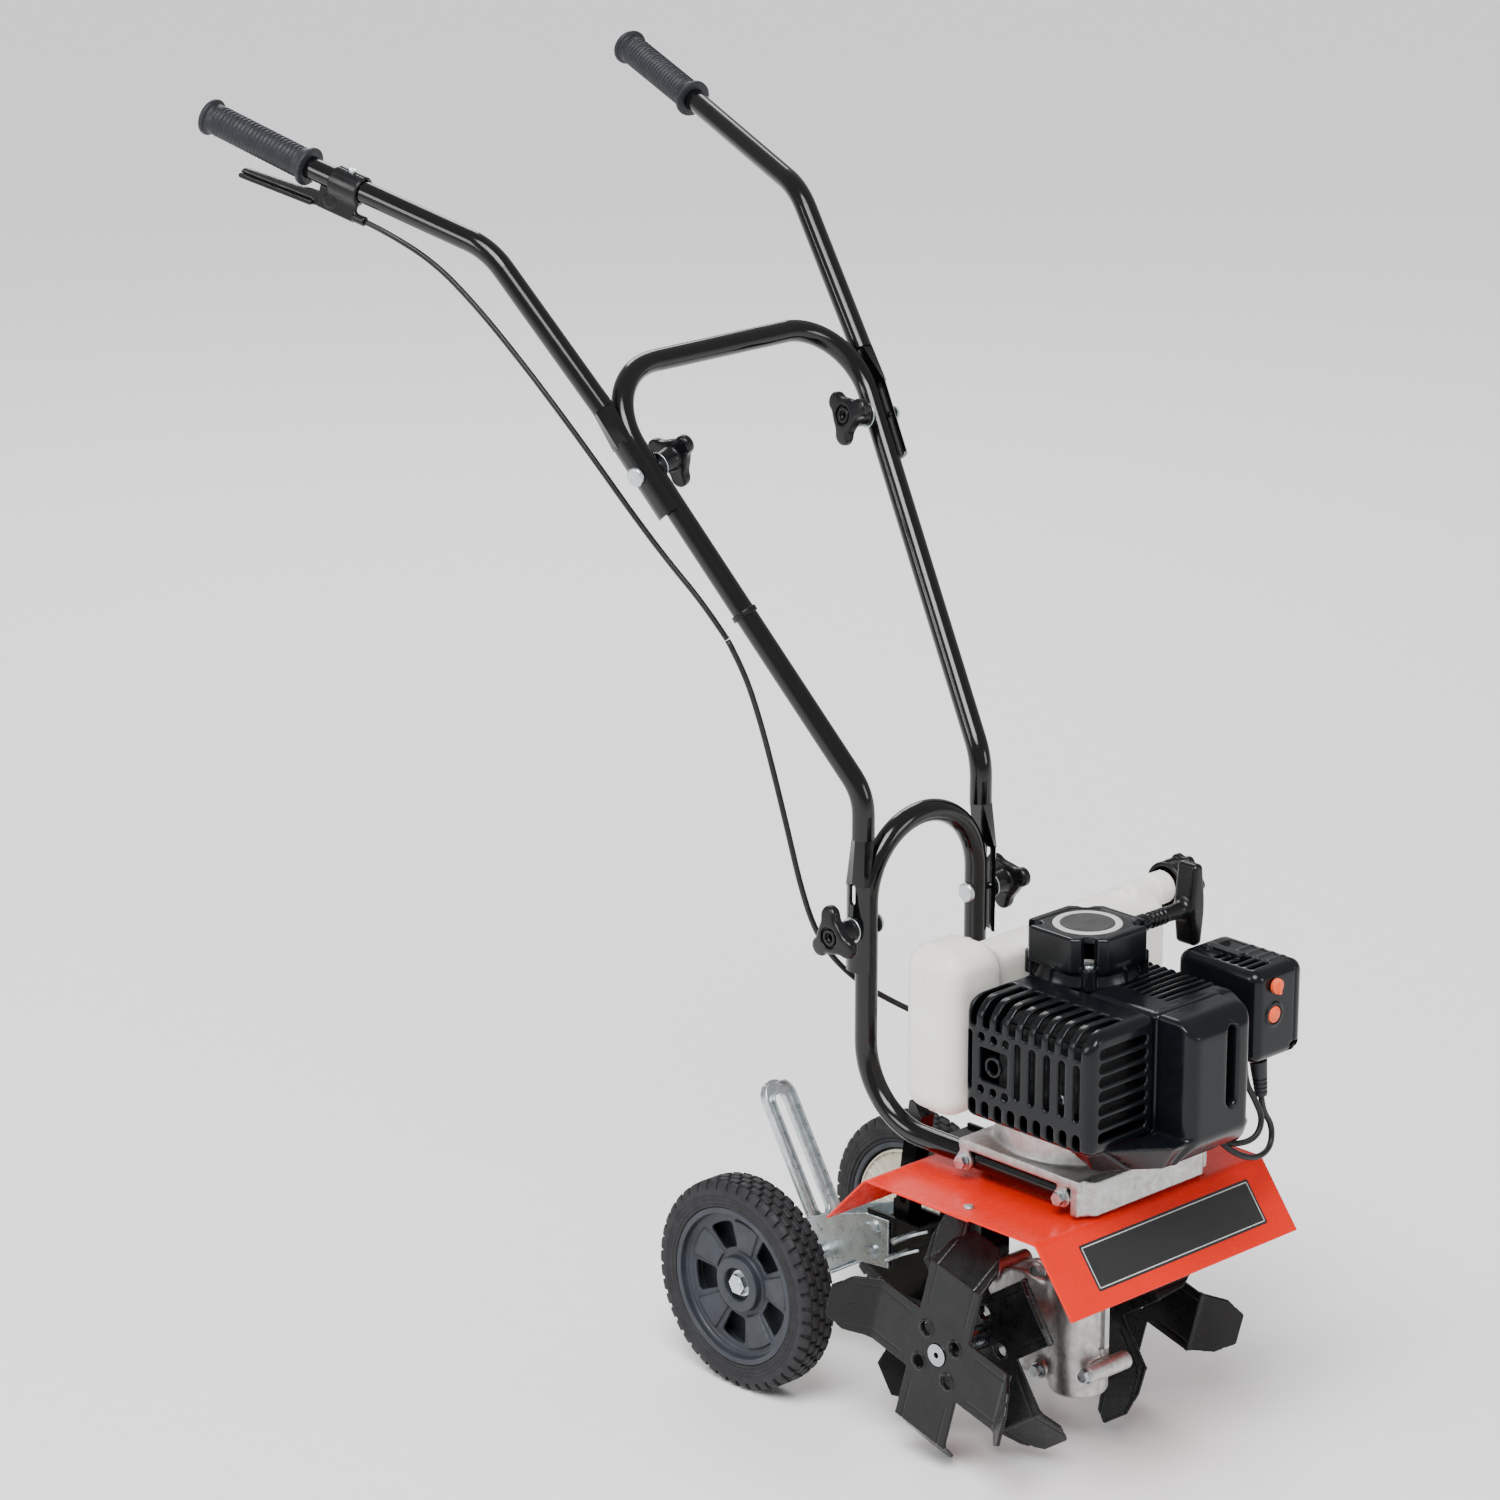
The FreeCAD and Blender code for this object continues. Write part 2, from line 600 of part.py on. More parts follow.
def lock_slot():
    """Cutters for the arc slot that lets the cheeks tilt past the lock bolt."""
    centre = V(-60, *TILT_PIVOT)
    start = V(-60, *TILT_LOCK) - centre
    end = FreeCAD.Rotation(X, -TILT_RANGE).multVec(start)
    wedge = prism([centre, centre + start * 2, centre + end * 2], X * 120)
    ring = rod(centre, X, start.Length + LOCK_HALF, 120).cut(rod(centre, X, start.Length - LOCK_HALF, 120))
    ends = [rod(centre + way, X, LOCK_HALF, 120) for way in (start, end)]
    return [ring.common(wedge)] + ends


def make_stake_bracket():
    """Black channel behind the gear case; it holds the drag stake and the wheel carriage."""
    outline = [(48, 96), (48, 232), (62, 246), (96, 246), (96, 168), (120, 152), (182, 152),
               (182, 100), (140, 86), (84, 86)]
    cheeks = [side_plate(outline, x0, x0 + 3.0) for x0 in (-17.3, 14.3)]
    web = box(-17.3, 17.3, 48, 51, 96, 232)
    shelf = box(-17.3, 17.3, 62, 96, 240, 243)
    spacers = [rod(V(-15, y, z), X, 5, 30) for y, z in (TILT_PIVOT, TILT_LOCK)]
    front_stop = box(-15, 15, 142, 145, 90, 108)
    body = fuse(cheeks + [web, shelf, front_stop] + spacers)
    bolts = [rod(V(-60, y, z), X, 3.05, 120) for y, z in (TILT_PIVOT, TILT_LOCK)]
    bolts += [rod(V(-60, y, z), X, 3.05, 60) for y, z in PIN_PLACES]
    return cut(body, bolts)


def stake_way():
    return (STAKE_TOP - STAKE_FOOT).normalize()


def make_drag_stake():
    way = stake_way()
    side = way.cross(X).normalize()
    half = STAKE_HALF
    corners = [STAKE_FOOT - X * half - side * half, STAKE_FOOT + X * half - side * half,
               STAKE_FOOT + X * half + side * half, STAKE_FOOT - X * half + side * half]
    length = (STAKE_TOP - STAKE_FOOT).Length
    bar = prism(corners, way * length)
    bevel = prism([STAKE_TOP - side * 12, STAKE_TOP - side * 12 - way * 14, STAKE_TOP + side * 1],
                  X * 30)
    bevel.translate(X * -15)
    point = prism([STAKE_FOOT + side * 12, STAKE_FOOT + side * 12 + way * 20, STAKE_FOOT - side * 6],
                  X * 30)
    point.translate(X * -15)
    holes = []
    for step in range(6):
        at = STAKE_TOP - way * (28 + STAKE_PITCH * step)
        holes.append(rod(at - X * 20, X, 3.6, 40))
    return cut(bar, [bevel, point] + holes)


def make_hitch_pins():
    """Two stub pins with wire bows: one locks the stake, one the wheel carriage."""
    pins = []
    reach = 16
    for y, z in PIN_PLACES:
        stub = rod(V(-14.6, y, z), X * -1, 3.0, reach)
        bow = [V(-14.6 - reach + 3, y, z), V(-32, y - 3, z + 1), V(-42, y - 14, z + 8),
               V(-45, y - 34, z + 20), V(-38, y - 48, z + 26)]
        radii = [corner_radius(bow, index) for index in range(1, 4)]
        pins.append(fuse([stub, bent_tube(bow, radii, 1.3)]))
    return Part.makeCompound(pins)


def make_hex_bolts():
    """Hexagon flange bolts of the rails, the gear case and the stake bracket."""
    bolts = []
    for y in RAIL_BOLTS_Y:
        bolts.append(flange_bolt(V(BASE_X, y, RAIL_Z), X, BOLT_R, 30))
        bolts.append(flange_bolt(V(-BASE_X, y, RAIL_Z), X * -1, BOLT_R, 30))
    for y, z in case_bolt_places():
        bolts.append(flange_bolt(V(-24, y, z), X * -1, BOLT_R, 44, 9.0))
    for y, z in (TILT_PIVOT, TILT_LOCK):
        bolts.append(flange_bolt(V(-20.6, y, z), X * -1, BOLT_R, 41, 10.0))
    return Part.makeCompound(bolts)


# ---- handles -------------------------------------------------------------
def crescent(centre, out, along, length):
    """A crushed tube end: an arc-shaped strip whose lips face the tube it nests on.

    centre lies on the plane of the lips, out points away from the nested tube, and the
    strip runs from centre along the direction along.
    """
    across = along.cross(out).normalize()
    sag = CRUSH_R - math.sqrt(CRUSH_R ** 2 - CRUSH_HALF ** 2)
    middle = centre - out * (CRUSH_R - sag)
    outer = arc_band(middle, out, across, CRUSH_R, CRUSH_R - CRUSH_WALL, centre)
    return outer.extrude(along * length)


def arc_band(middle, out, across, outer_r, inner_r, centre):
    """The face between two arcs about middle, cut off at the plane of the lips."""
    half = math.asin(CRUSH_HALF / outer_r)
    inner_half = math.acos(min(1.0, (centre - middle).dot(out) / inner_r))

    def at(radius, angle):
        return middle + out * (radius * math.cos(angle)) + across * (radius * math.sin(angle))

    edges = [Part.Arc(at(outer_r, -half), at(outer_r, 0), at(outer_r, half)).toShape(),
             Part.LineSegment(at(outer_r, half), at(inner_r, inner_half)).toShape(),
             Part.Arc(at(inner_r, inner_half), at(inner_r, 0), at(inner_r, -inner_half)).toShape(),
             Part.LineSegment(at(inner_r, -inner_half), at(outer_r, -half)).toShape()]
    return Part.Face(Part.Wire(edges))


def transition(band_centre, out, along, start, end, round_centre):
    """Joins a crescent section to a round tube: a hull-like loft between two solid sections."""
    across = along.cross(out).normalize()
    flat = []
    depth = 8.0
    for u, w in ((0.0, -12.6), (0.0, 12.6), (depth * 0.55, 10.5), (depth, 0.0), (depth * 0.55, -10.5)):
        flat.append(band_centre + along * start + out * u + across * w)
    lower = Part.makePolygon(flat + [flat[0]])
    ring = []
    for angle in (234, 126, 54, 0, -54):
        a = math.radians(angle)
        radial = out * (TUBE_R * math.cos(a)) + across * (TUBE_R * math.sin(a))
        ring.append(round_centre + along * end + radial)
    upper = Part.makePolygon(ring + [ring[0]])
    return Part.makeLoft([lower, upper], True, True)


def joint_frame():
    """Centre, direction and outward axis of the left upper joint."""
    way = (U_CORNER - KNEE).normalize()
    centre = KNEE + (U_CORNER - KNEE) * UPPER_JOINT
    out = (X - way * X.dot(way)).normalize()
    return centre, way, out


def make_lower_handle():
    """U-shaped handle tube whose crushed legs nest on the arch."""
    lip = ARCH_X + TUBE_R + RUN
    leg_top = 508.0
    foot_z = 394.0
    crush_top = 470.0
    legs = []
    for side in (1, -1):
        leg = crescent(V(lip, ARCH_Y, foot_z), X, Z, crush_top - foot_z)
        neck = transition(V(lip, ARCH_Y, 0), X, Z, crush_top - 2, leg_top + 2, V(KNEE.x, ARCH_Y, 0))
        legs.append(fuse([leg, neck]) if side > 0 else mirrored(fuse([leg, neck])))
    start = V(KNEE.x, ARCH_Y, leg_top)
    knee = V(KNEE.x, ARCH_Y, KNEE.z)
    corner = U_CORNER
    points = [flip(start), flip(knee), flip(corner), corner, knee, start]
    tube = bent_tube(points, [50, U_BEND, U_BEND, 50], TUBE_R, TUBE_R - TUBE_WALL)
    body = fuse([tube] + legs)
    centre, _, out = joint_frame()
    holes = [rod(V(-120, ARCH_Y, FOLD_Z), X, BOLT_R + FIT, 240)]
    holes.append(rod(centre - out * 30, out, BOLT_R + FIT, 60))
    holes.append(rod(flip(centre - out * 30), flip(out), BOLT_R + FIT, 60))
    slots = []
    for side in (1, -1):
        place = V(side * 100, ARCH_Y, FOLD_Z + 25)
        slots.append(slot(place, place + Z * 12, 3.2, X * -side, 30))
    return cut(body, holes + slots)


def flip(point):
    return V(-point.x, point.y, point.z)


def make_upper_handle(side):
    """Separate upper handle tube with a crushed lower end; drawn left, mirrored for right."""
    centre, way, out = joint_frame()
    lip = centre + out * (TUBE_R + RUN)
    below, above = 40.0, 30.0
    end = crescent(lip - way * below, out, way, below + above)
    run_in = centre + way * 62 + out * 7.0
    neck = transition(lip, out, way, above - 2, 64.0, centre + out * 7.0)
    last = (GRIP_END - GRIP_IN).normalize()
    grip_tube_end = GRIP_END - last * 6
    points = [run_in, UPPER_KNEE, GRIP_IN, grip_tube_end]
    tube = bent_tube(points, [70, 60], TUBE_R, TUBE_R - TUBE_WALL)
    hole = rod(centre - out * 5, out, BOLT_R + FIT, 60)
    body = cut(fuse([tube, end, neck]), [hole])
    return body if side > 0 else mirrored(body)


def make_grip(side):
    """Ribbed rubber grip with a flange at both ends."""
    way = (GRIP_END - GRIP_IN).normalize()
    length = (GRIP_END - GRIP_IN).Length
    start = GRIP_IN + way * 8
    sleeve = rod(start, way, 13.6, length - 8)
    flanges = [rod(start, way, 17.0, 4), rod(GRIP_END - way * 4, way, 16.4, 4)]
    body = fuse([sleeve] + flanges)
    bore = rod(start - way, way, TUBE_R + FIT, length - 8 - 4)
    body = body.cut(bore)
    return body if side > 0 else mirrored(body)


def carriage_bolt(seat, way, length):
    """Round-head bolt; way points from the head's seat along the shank."""
    head = round_top(rod(seat - way * 0.01, way * -1, HEAD_R, HEAD_T), way * -1, 2.2)
    return fuse([head, rod(seat - way * 0.02, way, BOLT_R, length)])


def make_handle_bolts():
    """Four carriage bolts: heads inside the arch below, outside the handles above."""
    lower = carriage_bolt(V(ARCH_X - TUBE_R - RUN, ARCH_Y, FOLD_Z), X, 46)
    centre, _, out = joint_frame()
    crown = TUBE_R + RUN + CRUSH_R - math.sqrt(CRUSH_R ** 2 - CRUSH_HALF ** 2) + RUN
    upper = carriage_bolt(centre + out * crown, out * -1, 46)
    return Part.makeCompound([lower, mirrored(lower), upper, mirrored(upper)])


def knob(seat, way, turn):
    """Three-lobed clamp knob; way points from its seat to its face."""
    side = way.cross(Z).normalize()
    other = way.cross(side).normalize()
    hub = rod(seat, way, KNOB_HUB_R, KNOB_HUB_L)
    centre = seat + way * KNOB_HUB_L
    wings = [rod(centre, way, 15.5, KNOB_T)]
    for step in range(3):
        angle = math.radians(turn + 120 * step)
        ray = side * math.cos(angle) + other * math.sin(angle)
        cross = way.cross(ray).normalize()
        tip = centre + ray * (KNOB_R - KNOB_LOBE_R)
        wings.append(rod(tip, way, KNOB_LOBE_R, KNOB_T))
        arm = [centre - cross * 11, centre + cross * 11]
        arm += [tip + cross * KNOB_LOBE_R, tip - cross * KNOB_LOBE_R]
        wings.append(prism(arm, way * KNOB_T))
    body = fuse([hub] + wings)
    recess = rod(centre + way * (KNOB_T - 4), way, 9.5, 6)
    bore = rod(seat - way, way, BOLT_R + FIT, KNOB_HUB_L + KNOB_T)
    return cut(body, [recess, bore])


def knob_seats():
    """Name, seat, direction and turn of the four knobs."""
    centre, _, out = joint_frame()
    crush = CRUSH_R - math.sqrt(CRUSH_R ** 2 - CRUSH_HALF ** 2)
    low = V(ARCH_X + TUBE_R + crush + 2 * RUN + 1.2, ARCH_Y, FOLD_Z)
    high = centre - out * (TUBE_R + RUN + 1.2)
    return [("knob_lower_left", low, X, 100), ("knob_lower_right", flip(low), X * -1, 40),
            ("knob_upper_left", high, out * -1, 90), ("knob_upper_right", flip(high), flip(out) * -1, 75)]


# ---- throttle ------------------------------------------------------------
def throttle_frame():
    """Place and directions of the throttle block on the right handle, before its grip."""
    way = flip((GRIP_IN - UPPER_KNEE).normalize())
    place = flip(GRIP_IN) - way * 34
    down = (Z * -1 + way * Z.dot(way)).normalize()
    return place, way, down


def make_throttle_bracket():
    place, way, down = throttle_frame()
    side = way.cross(down).normalize()
    band = rod(place - way * 15, way, TUBE_R + 3.2, 30)
    cheek = prism([place - way * 16 + down * 4, place + way * 26 + down * 4, place + way * 26 + down * 26,
                   place + way * 4 + down * 34, place - way * 16 + down * 24], side * 4)
    cheek.translate(side * 3)
    stop = rod(place - way * 26 + down * 22 + side * 5, way, 4.2, 12)
    pin = rod(place + way * 12 + down * 17 - side * 5.2, side, 2.4, 12)
    body = fuse([band, cheek, stop, pin])
    return body.cut(rod(place - way * 30, way, TUBE_R + FIT, 70))


def make_throttle_lever():
    """Finger lever under the grip, turning on the bracket's pin."""
    place, way, down = throttle_frame()
    side = way.cross(down).normalize()
    pivot = place + way * 12 + down * 17
    plate = prism([pivot - way * 9 + down * 10, pivot - way * 9 - down * 3, pivot + way * 12 - down * 3,
                   pivot + way * 96 + down * 10, pivot + way * 98 + down * 16, pivot + way * 20 + down * 11],
                  side * 3.4)
    plate.translate(side * -1.2)
    pad = prism([pivot + way * 18 + down * 7.2, pivot + way * 96 + down * 11, pivot + way * 97 + down * 15.6,
                 pivot + way * 20 + down * 11], side * 15)
    pad.translate(side * -7.5)
    body = fuse([plate, pad])
    return body.cut(rod(pivot - side * 12, side, 2.4 + FIT, 24))


def upper_cable_points():
    """From the throttle's ferrule, hanging below the right handle, to the tie on the leg."""
    place, way, down = throttle_frame()
    side = way.cross(down).normalize()
    start = place - way * 26 + down * 22 + side * 5
    second = start - way * 18
    return [start, second, V(-185, 533, 946), V(-172, 494, 912), V(-160, 455, 872), V(-150, 417, 832),
            V(-139, 383, 792), V(-128, 352, 753), V(-117, 320, 716), V(-107, 288, 684), V(-100, 268, 657)]


def lower_cable_points():
    """From the tie on the leg, behind the lower knob and the tank, to the carburettor."""
    return [V(-99.9, 267.7, 656.5), V(-95, 253, 632), V(-96, 232, 592), V(-98, 213, 549), V(-99, 196, 505),
            V(-97, 184, 463), V(-90, 175, 426), V(-74, 168, 396), V(-50, 157, 370), V(-24, 140, 350),
            V(4, 118, 332), V(34, 94, 316), V(66, 72, 303), V(92, 46, 297), V(104, 14, 296),
            V(103, -18, 297), V(95, -50, 299), V(84, -74, 303), V(73, -90, 312), V(68.5, -96.5, 328),
            V(68.5, -96.5, 350)]


def make_cable(points):
    radii = [corner_radius(points, index) for index in range(1, len(points) - 1)]
    tube = bent_tube(points, radii, CABLE_R)
    length = path_length(points, radii)
    print("cable: length %.0f mm, bend radii %s" % (length, [round(r) for r in radii]))
    print("  volume %.0f, section x length %.0f" % (tube.Volume, math.pi * CABLE_R ** 2 * length))
    return tube


def path_length(points, radii):
    """Length of the runs and arcs of a route."""
    total = 0.0
    for index in range(1, len(points)):
        total += (points[index] - points[index - 1]).Length
    for index, radius in enumerate(radii):
        before = points[index + 1] - points[index]
        after = points[index + 2] - points[index + 1]
        turn = before.getAngle(after)
        total += radius * (turn - 2 * math.tan(turn / 2))
    return total


# ---- engine --------------------------------------------------------------
def make_crankcase():
    """Aluminium crankcase with bearing bores, closed by the cylinder in front."""
    body = soft_box((-30, 30, -88, -13.0, 325, 398), 8, Z)
    flange = rod(V(0, CRANK_Y, BELL_TOP), Z, 60, 4)
    body = fuse([body, flange])
    chamber = rod(V(0, CRANK_Y, 340), Z, 29, 46)
    shaft = rod(V(0, CRANK_Y, BELL_TOP - 1), Z, CRANK_R + FIT, 90)
    mouth = rod(V(0, -50, BORE_Z), Y * -1, BORE_R, 50)
    lower_seat = rod(V(0, CRANK_Y, BELL_TOP - 1), Z, 16, 6)
    return cut(body, [chamber, shaft, mouth, lower_seat])


def make_cylinder():
    """Finned barrel and head lying forward of the crankcase."""
    pieces = [rod(V(0, -88.0, BORE_Z), Y * -1, 23, 62)]
    for step in range(FIN_COUNT):
        y = -93 - step * FIN_PITCH
        pieces.append(box(-CYL_HALF, CYL_HALF, y - FIN_T, y, BORE_Z - 33, BORE_Z + 33))
    pieces.append(box(24, 40, -112, -96, 354, 374))
    pieces.append(box(-37, -24, -114, -94, 352, 376))
    body = fuse(pieces)
    bore = rod(V(0, -87, BORE_Z), Y * -1, BORE_R, 52)
    plug = rod(V(0, -120, BORE_Z), Y * -1, 6.0, 60)
    intake = rod(V(10, INTAKE_Y, BORE_Z), X, 7, 40)
    exhaust = rod(V(-40, INTAKE_Y, BORE_Z), X, 8, 30)
    return cut(body, [bore, plug, intake, exhaust])


def make_piston():
    """Piston and rod in mid stroke, drawn as one piece; the crank pin is left open."""
    piston = rod(V(0, -98, BORE_Z), Y * -1, BORE_R - FIT, 24)
    under = rod(V(0, -97, BORE_Z), Y * -1, BORE_R - 3, 17)
    rod_bar = box(-4, 4, -104, -60, BORE_Z - 3, BORE_Z + 3)
    big_end = rod(V(0, CRANK_Y - 8, BORE_Z - 3.5), Z, 9, 7)
    small_end = box(-6, 6, -115, -100, BORE_Z - 5, BORE_Z + 5)
    return fuse([piston.cut(under), rod_bar, big_end, small_end])


def make_crankshaft():
    """Two crank halves with full-round webs; the gap between them takes the rod's big end."""
    journals = (rod(V(0, CRANK_Y, 300.8), Z, CRANK_R, 47.2), rod(V(0, CRANK_Y, 383), Z, CRANK_R, 46))
    halves = []
    for journal, z in zip(journals, WEB_PLACES):
        halves.append(fuse([journal, rod(V(0, CRANK_Y, z), Z, WEB_R, WEB_T)]))
    return Part.makeCompound(halves)


def make_flywheel():
    """Fan flywheel above the crankcase."""
    disc = rod(V(0, CRANK_Y, FLYWHEEL_Z), Z, FLYWHEEL_R, 4)
    hub = rod(V(0, CRANK_Y, FLYWHEEL_Z), Z, 14, 13)
    vanes = []
    for step in range(FLYWHEEL_VANES):
        vane = box(12, FLYWHEEL_R, -1.2, 1.2, 403, 412)
        vane.rotate(O, Z, 360 / FLYWHEEL_VANES * step)
        vane.translate(V(0, CRANK_Y, 0))
        vanes.append(vane)
    return fuse([disc, hub] + vanes).cut(rod(V(0, CRANK_Y, 390), Z, CRANK_R + 0.01, 40))


def make_clutch_shoes():
    """Two centrifugal shoes on a carrier, inside the drum."""
    z0 = BASE_TOP + 12 + 7.5
    ring = rod(V(0, CRANK_Y, z0), Z, 34.0, 9).cut(rod(V(0, CRANK_Y, z0), Z, 17, 9))
    gap = box(-40, 40, CRANK_Y - 3, CRANK_Y + 3, z0 - 1, z0 + 10)
    carrier = rod(V(0, CRANK_Y, z0), Z, 18.5, 4)
    bars = box(-26, 26, CRANK_Y - 4.5, CRANK_Y + 4.5, z0, z0 + 4)
    body = fuse([ring.cut(gap), carrier, bars])
    return body.cut(rod(V(0, CRANK_Y, z0 - 1), Z, CRANK_R + 0.01, 12))


def make_spark_plug():
    thread = rod(V(0, HEAD_Y, BORE_Z), Y * -1, 5.9, 14)
    nut = hexagon(V(0, HEAD_Y - 14, BORE_Z), Y * -1, 16, 7)
    insulator = rod(V(0, HEAD_Y - 20, BORE_Z), Y * -1, 5, 18)
    return fuse([thread, nut, insulator])


def make_muffler():
    body = soft_box(MUFFLER, 8, Y)
    return body.cut(box(*shrunk(MUFFLER, MUFFLER_WALL)))


def make_muffler_guard():
    """Slotted black cover over the muffler."""
    outer = soft_box(MUFF_GUARD, 14, X)
    outer = round_edges(outer, 9, Z)
    x0, x1, y0, y1, z0, z1 = shrunk(MUFF_GUARD, 2.6)
    inner = soft_box((x0, x1 + 10, y0, y1, z0, z1), 11.4, X)
    inner = round_edges(inner, 6.4, Z)
    cutters = []
    outside = MUFF_GUARD[0] - 7
    for step in range(5):
        y = -79 - step * 16
        cutters.append(slot(V(outside, y, 354), V(outside, y, 395), SLOT_R, X, VENT_DEPTH))
    cutters.append(slot(V(outside, -26.5, 350), V(outside, -26.5, 395), SLOT_R, X, VENT_DEPTH))
    for step in range(9):
        y = -30 - step * 14.2
        cutters.append(slot(V(-100, y, 410), V(-66, y, 410), SLOT_R, Z, 30))
        cutters.append(rod(V(outside, y, 334), X, 4.0, VENT_DEPTH))
    for step in range(7):
        z = 338 + step * 11.8
        cutters.append(slot(V(-98, -170, z), V(-52, -170, z), 3.2, Y, 18))
    for y in (-39.5, -53, -66):
        for z in (350, 395):
            cutters.append(rod(V(outside, y, z), X, 3.4, VENT_DEPTH))
    cutters.append(rod(V(outside, -53, 372), X, 7.5, VENT_DEPTH))
    return cut(outer, [inner] + cutters)


def make_fan_shroud():
    """Black engine cover: louvred top, side walls and a nose over the cylinder head."""
    main = round_edges(box(*SHROUD), 8, Z)
    nose = round_edges(box(*NOSE), 10, Z)
    chin = prism([V(-60, -200, 296), V(-60, -200, 345), V(-60, -172, 296)], V(120, 0, 0))
    outer = fuse([main, nose]).cut(chin)
    x0, x1, y0, _, _, z1 = shrunk(SHROUD, COVER_WALL)
    hollow_main = box(x0, x1, y0, SHROUD[3] + 30, 290, z1)
    x0, x1, y0, _, _, z1 = shrunk(NOSE, COVER_WALL)
    hollow_nose = box(x0, x1, y0, NOSE[3] + 8, 290, z1)
    cutters = [slot(V(13, -210, 350), V(13, -210, 425), 4.5, Y, 22)]
    for step in range(8):
        y = -138 + step * 9
        cutters.append(slot(V(0, y, 410), V(62, y, 410), 2.4, Z, 20))
    cutters.append(rod(V(0, CRANK_Y, 400), Z, 33, 30))
    cutters.append(rod(V(60, INTAKE_Y, BORE_Z), X, 12, 30))
    cutters.append(box(-50, -20, -118, -90, 348, 380))
    cutters += [rod(V(x, y, 400), Z, SCREW_R, 30) for x, y in RECOIL_FEET]
    corners = [V(x, y, SKIRT_BOTTOM) for x, y in SKIRT_PLAN]
    skirt = prism(corners, Z * (MUFF_GUARD[4] - 0.2 - SKIRT_BOTTOM))
    return fuse([cut(outer, [hollow_main, hollow_nose] + cutters), skirt])


def octagon(radius, z0, z1):
    points = []
    for step in range(8):
        angle = math.radians(22.5 + 45 * step)
        points.append(V(radius * math.cos(angle), CRANK_Y + radius * math.sin(angle), z0))
    return prism(points, Z * (z1 - z0))


def make_recoil_housing():
    """Starter housing: eight-sided cap on a round skirt, with the rope's outlet."""
    cap = octagon(LID_R, 436, LID_Z)
    skirt = rod(V(0, CRANK_Y, RECOIL_Z), Z, 42, 16)
    feet = [rod(V(x, y, RECOIL_Z), Z, FOOT_R, FOOT_Z - RECOIL_Z) for x, y in RECOIL_FEET]
    outlet = rod(V(38, PULL_C.y, PULL_C.z - 2), X, 7.5, 22)
    body = fuse([cap, skirt, outlet] + feet)
    inner = [rod(V(0, CRANK_Y, RECOIL_Z - 1), Z, 38, 38)]
    inner.append(rod(V(30, PULL_C.y, PULL_C.z - 2), X, 2.6, 40))
    screws = [rod(V(x, y, RECOIL_Z - 5), Z, SCREW_R, 30) for x, y in RECOIL_FEET]
    screws += [rod(V(x, y, FOOT_Z), Z, FOOT_R + 0.4, LID_Z - FOOT_Z + 1) for x, y in RECOIL_FEET]
    return cut(body, inner + screws)


def make_pull_handle():
    """T-shaped starter grip with its stem and the rope's first stretch."""
    low, high = PULL_C - V(6, 10, 34), PULL_C + V(9, 10, 37)
    bar = soft_box((low.x, high.x, low.y, high.y, low.z, high.z), 5, Z)
    stem = rod(V(62, PULL_C.y, PULL_C.z - 2), X, 5.5, PULL_C.x - 62)
    rope = rod(V(24, PULL_C.y, PULL_C.z - 2), X, 2.0, 40)
    return fuse([bar, stem, rope])


def make_carburettor():
    body = box(40.2, 71.5, -116, -92, 350, 378)
    bowl = rod(V(56, -104, 340), Z, 10, 12)
    throat = rod(V(30, INTAKE_Y, BORE_Z), X, 6.5, 60)
    return cut(fuse([body, bowl]), [throat])


def make_air_filter():
    return soft_box(AIR_FILTER, 6, X)


def make_air_box():
    """Air cleaner box with ribs on its top."""
    outer = soft_box(AIR_BOX, 9, X)
    outer = round_edges(outer, 8, Z)
    x0, x1, y0, y1, z0, z1 = shrunk(AIR_BOX, 2.8)
    inner = soft_box((x0, x1, y0, y1, z0, z1), 6.2, X)
    ribs = []
    for step in range(4):
        x = 88 + step * 9
        ribs.append(box(x, x + 3, -150, -90, AIR_BOX[5] - 0.5, AIR_BOX[5] + 2.2))
    holes = [rod(V(CHOKE[0], -175, CHOKE[1]), Y, 3.0 + FIT, 14),
             rod(V(PRIMER[0], -175, PRIMER[1]), Y, PRIMER_R + 0.4, 14)]
    holes.append(rod(V(70, INTAKE_Y, BORE_Z), X, 12, 12))
    return cut(fuse([outer] + ribs), [inner] + holes)


def make_choke_knob():
    """Small orange choke lever on the front of the air box."""
    x, z = CHOKE
    shaft = rod(V(x, -158.6, z), Y * -1, 3.0, 8.4)
    disc = rod(V(x, -165.4, z), Y * -1, 6.5, 4.5)
    tab = box(x - 2.4, x + 2.4, -172.5, -165.4, z - 10, z + 2)
    return fuse([shaft, disc, tab])


def make_primer_button():
    return round_top(rod(V(PRIMER[0], -163, PRIMER[1]), Y * -1, PRIMER_R, 6.5), Y * -1, 3.0)


def make_fuel_tank():
    """Translucent tank behind the engine, with a saddle in its top and a side filler."""
    outer = soft_box(TANK, 24, Z)
    outer = round_edges(outer, 10, X)
    dip = [V(x, TANK[2] - 10, z) for x, z in TANK_DIP]
    above = [V(x, TANK[2] - 10, TANK[5] + 10) for x in (TANK_DIP[-1][0], TANK_DIP[0][0] - 14)]
    saddle = prism(dip + above, Y * (TANK[3] - TANK[2] + 20))
    notch = box(-52, 52, -20, 3, 390, 460)
    bell_room = rod(V(0, CRANK_Y, 300), Z, BELL_R + 3, 28)
    body = cut(outer, [saddle, notch, bell_room])
    filler = rod(V(120, CAP_C.y, CAP_C.z), X, FILLER_R, CAP_C.x - 120)
    return fuse([body, filler])


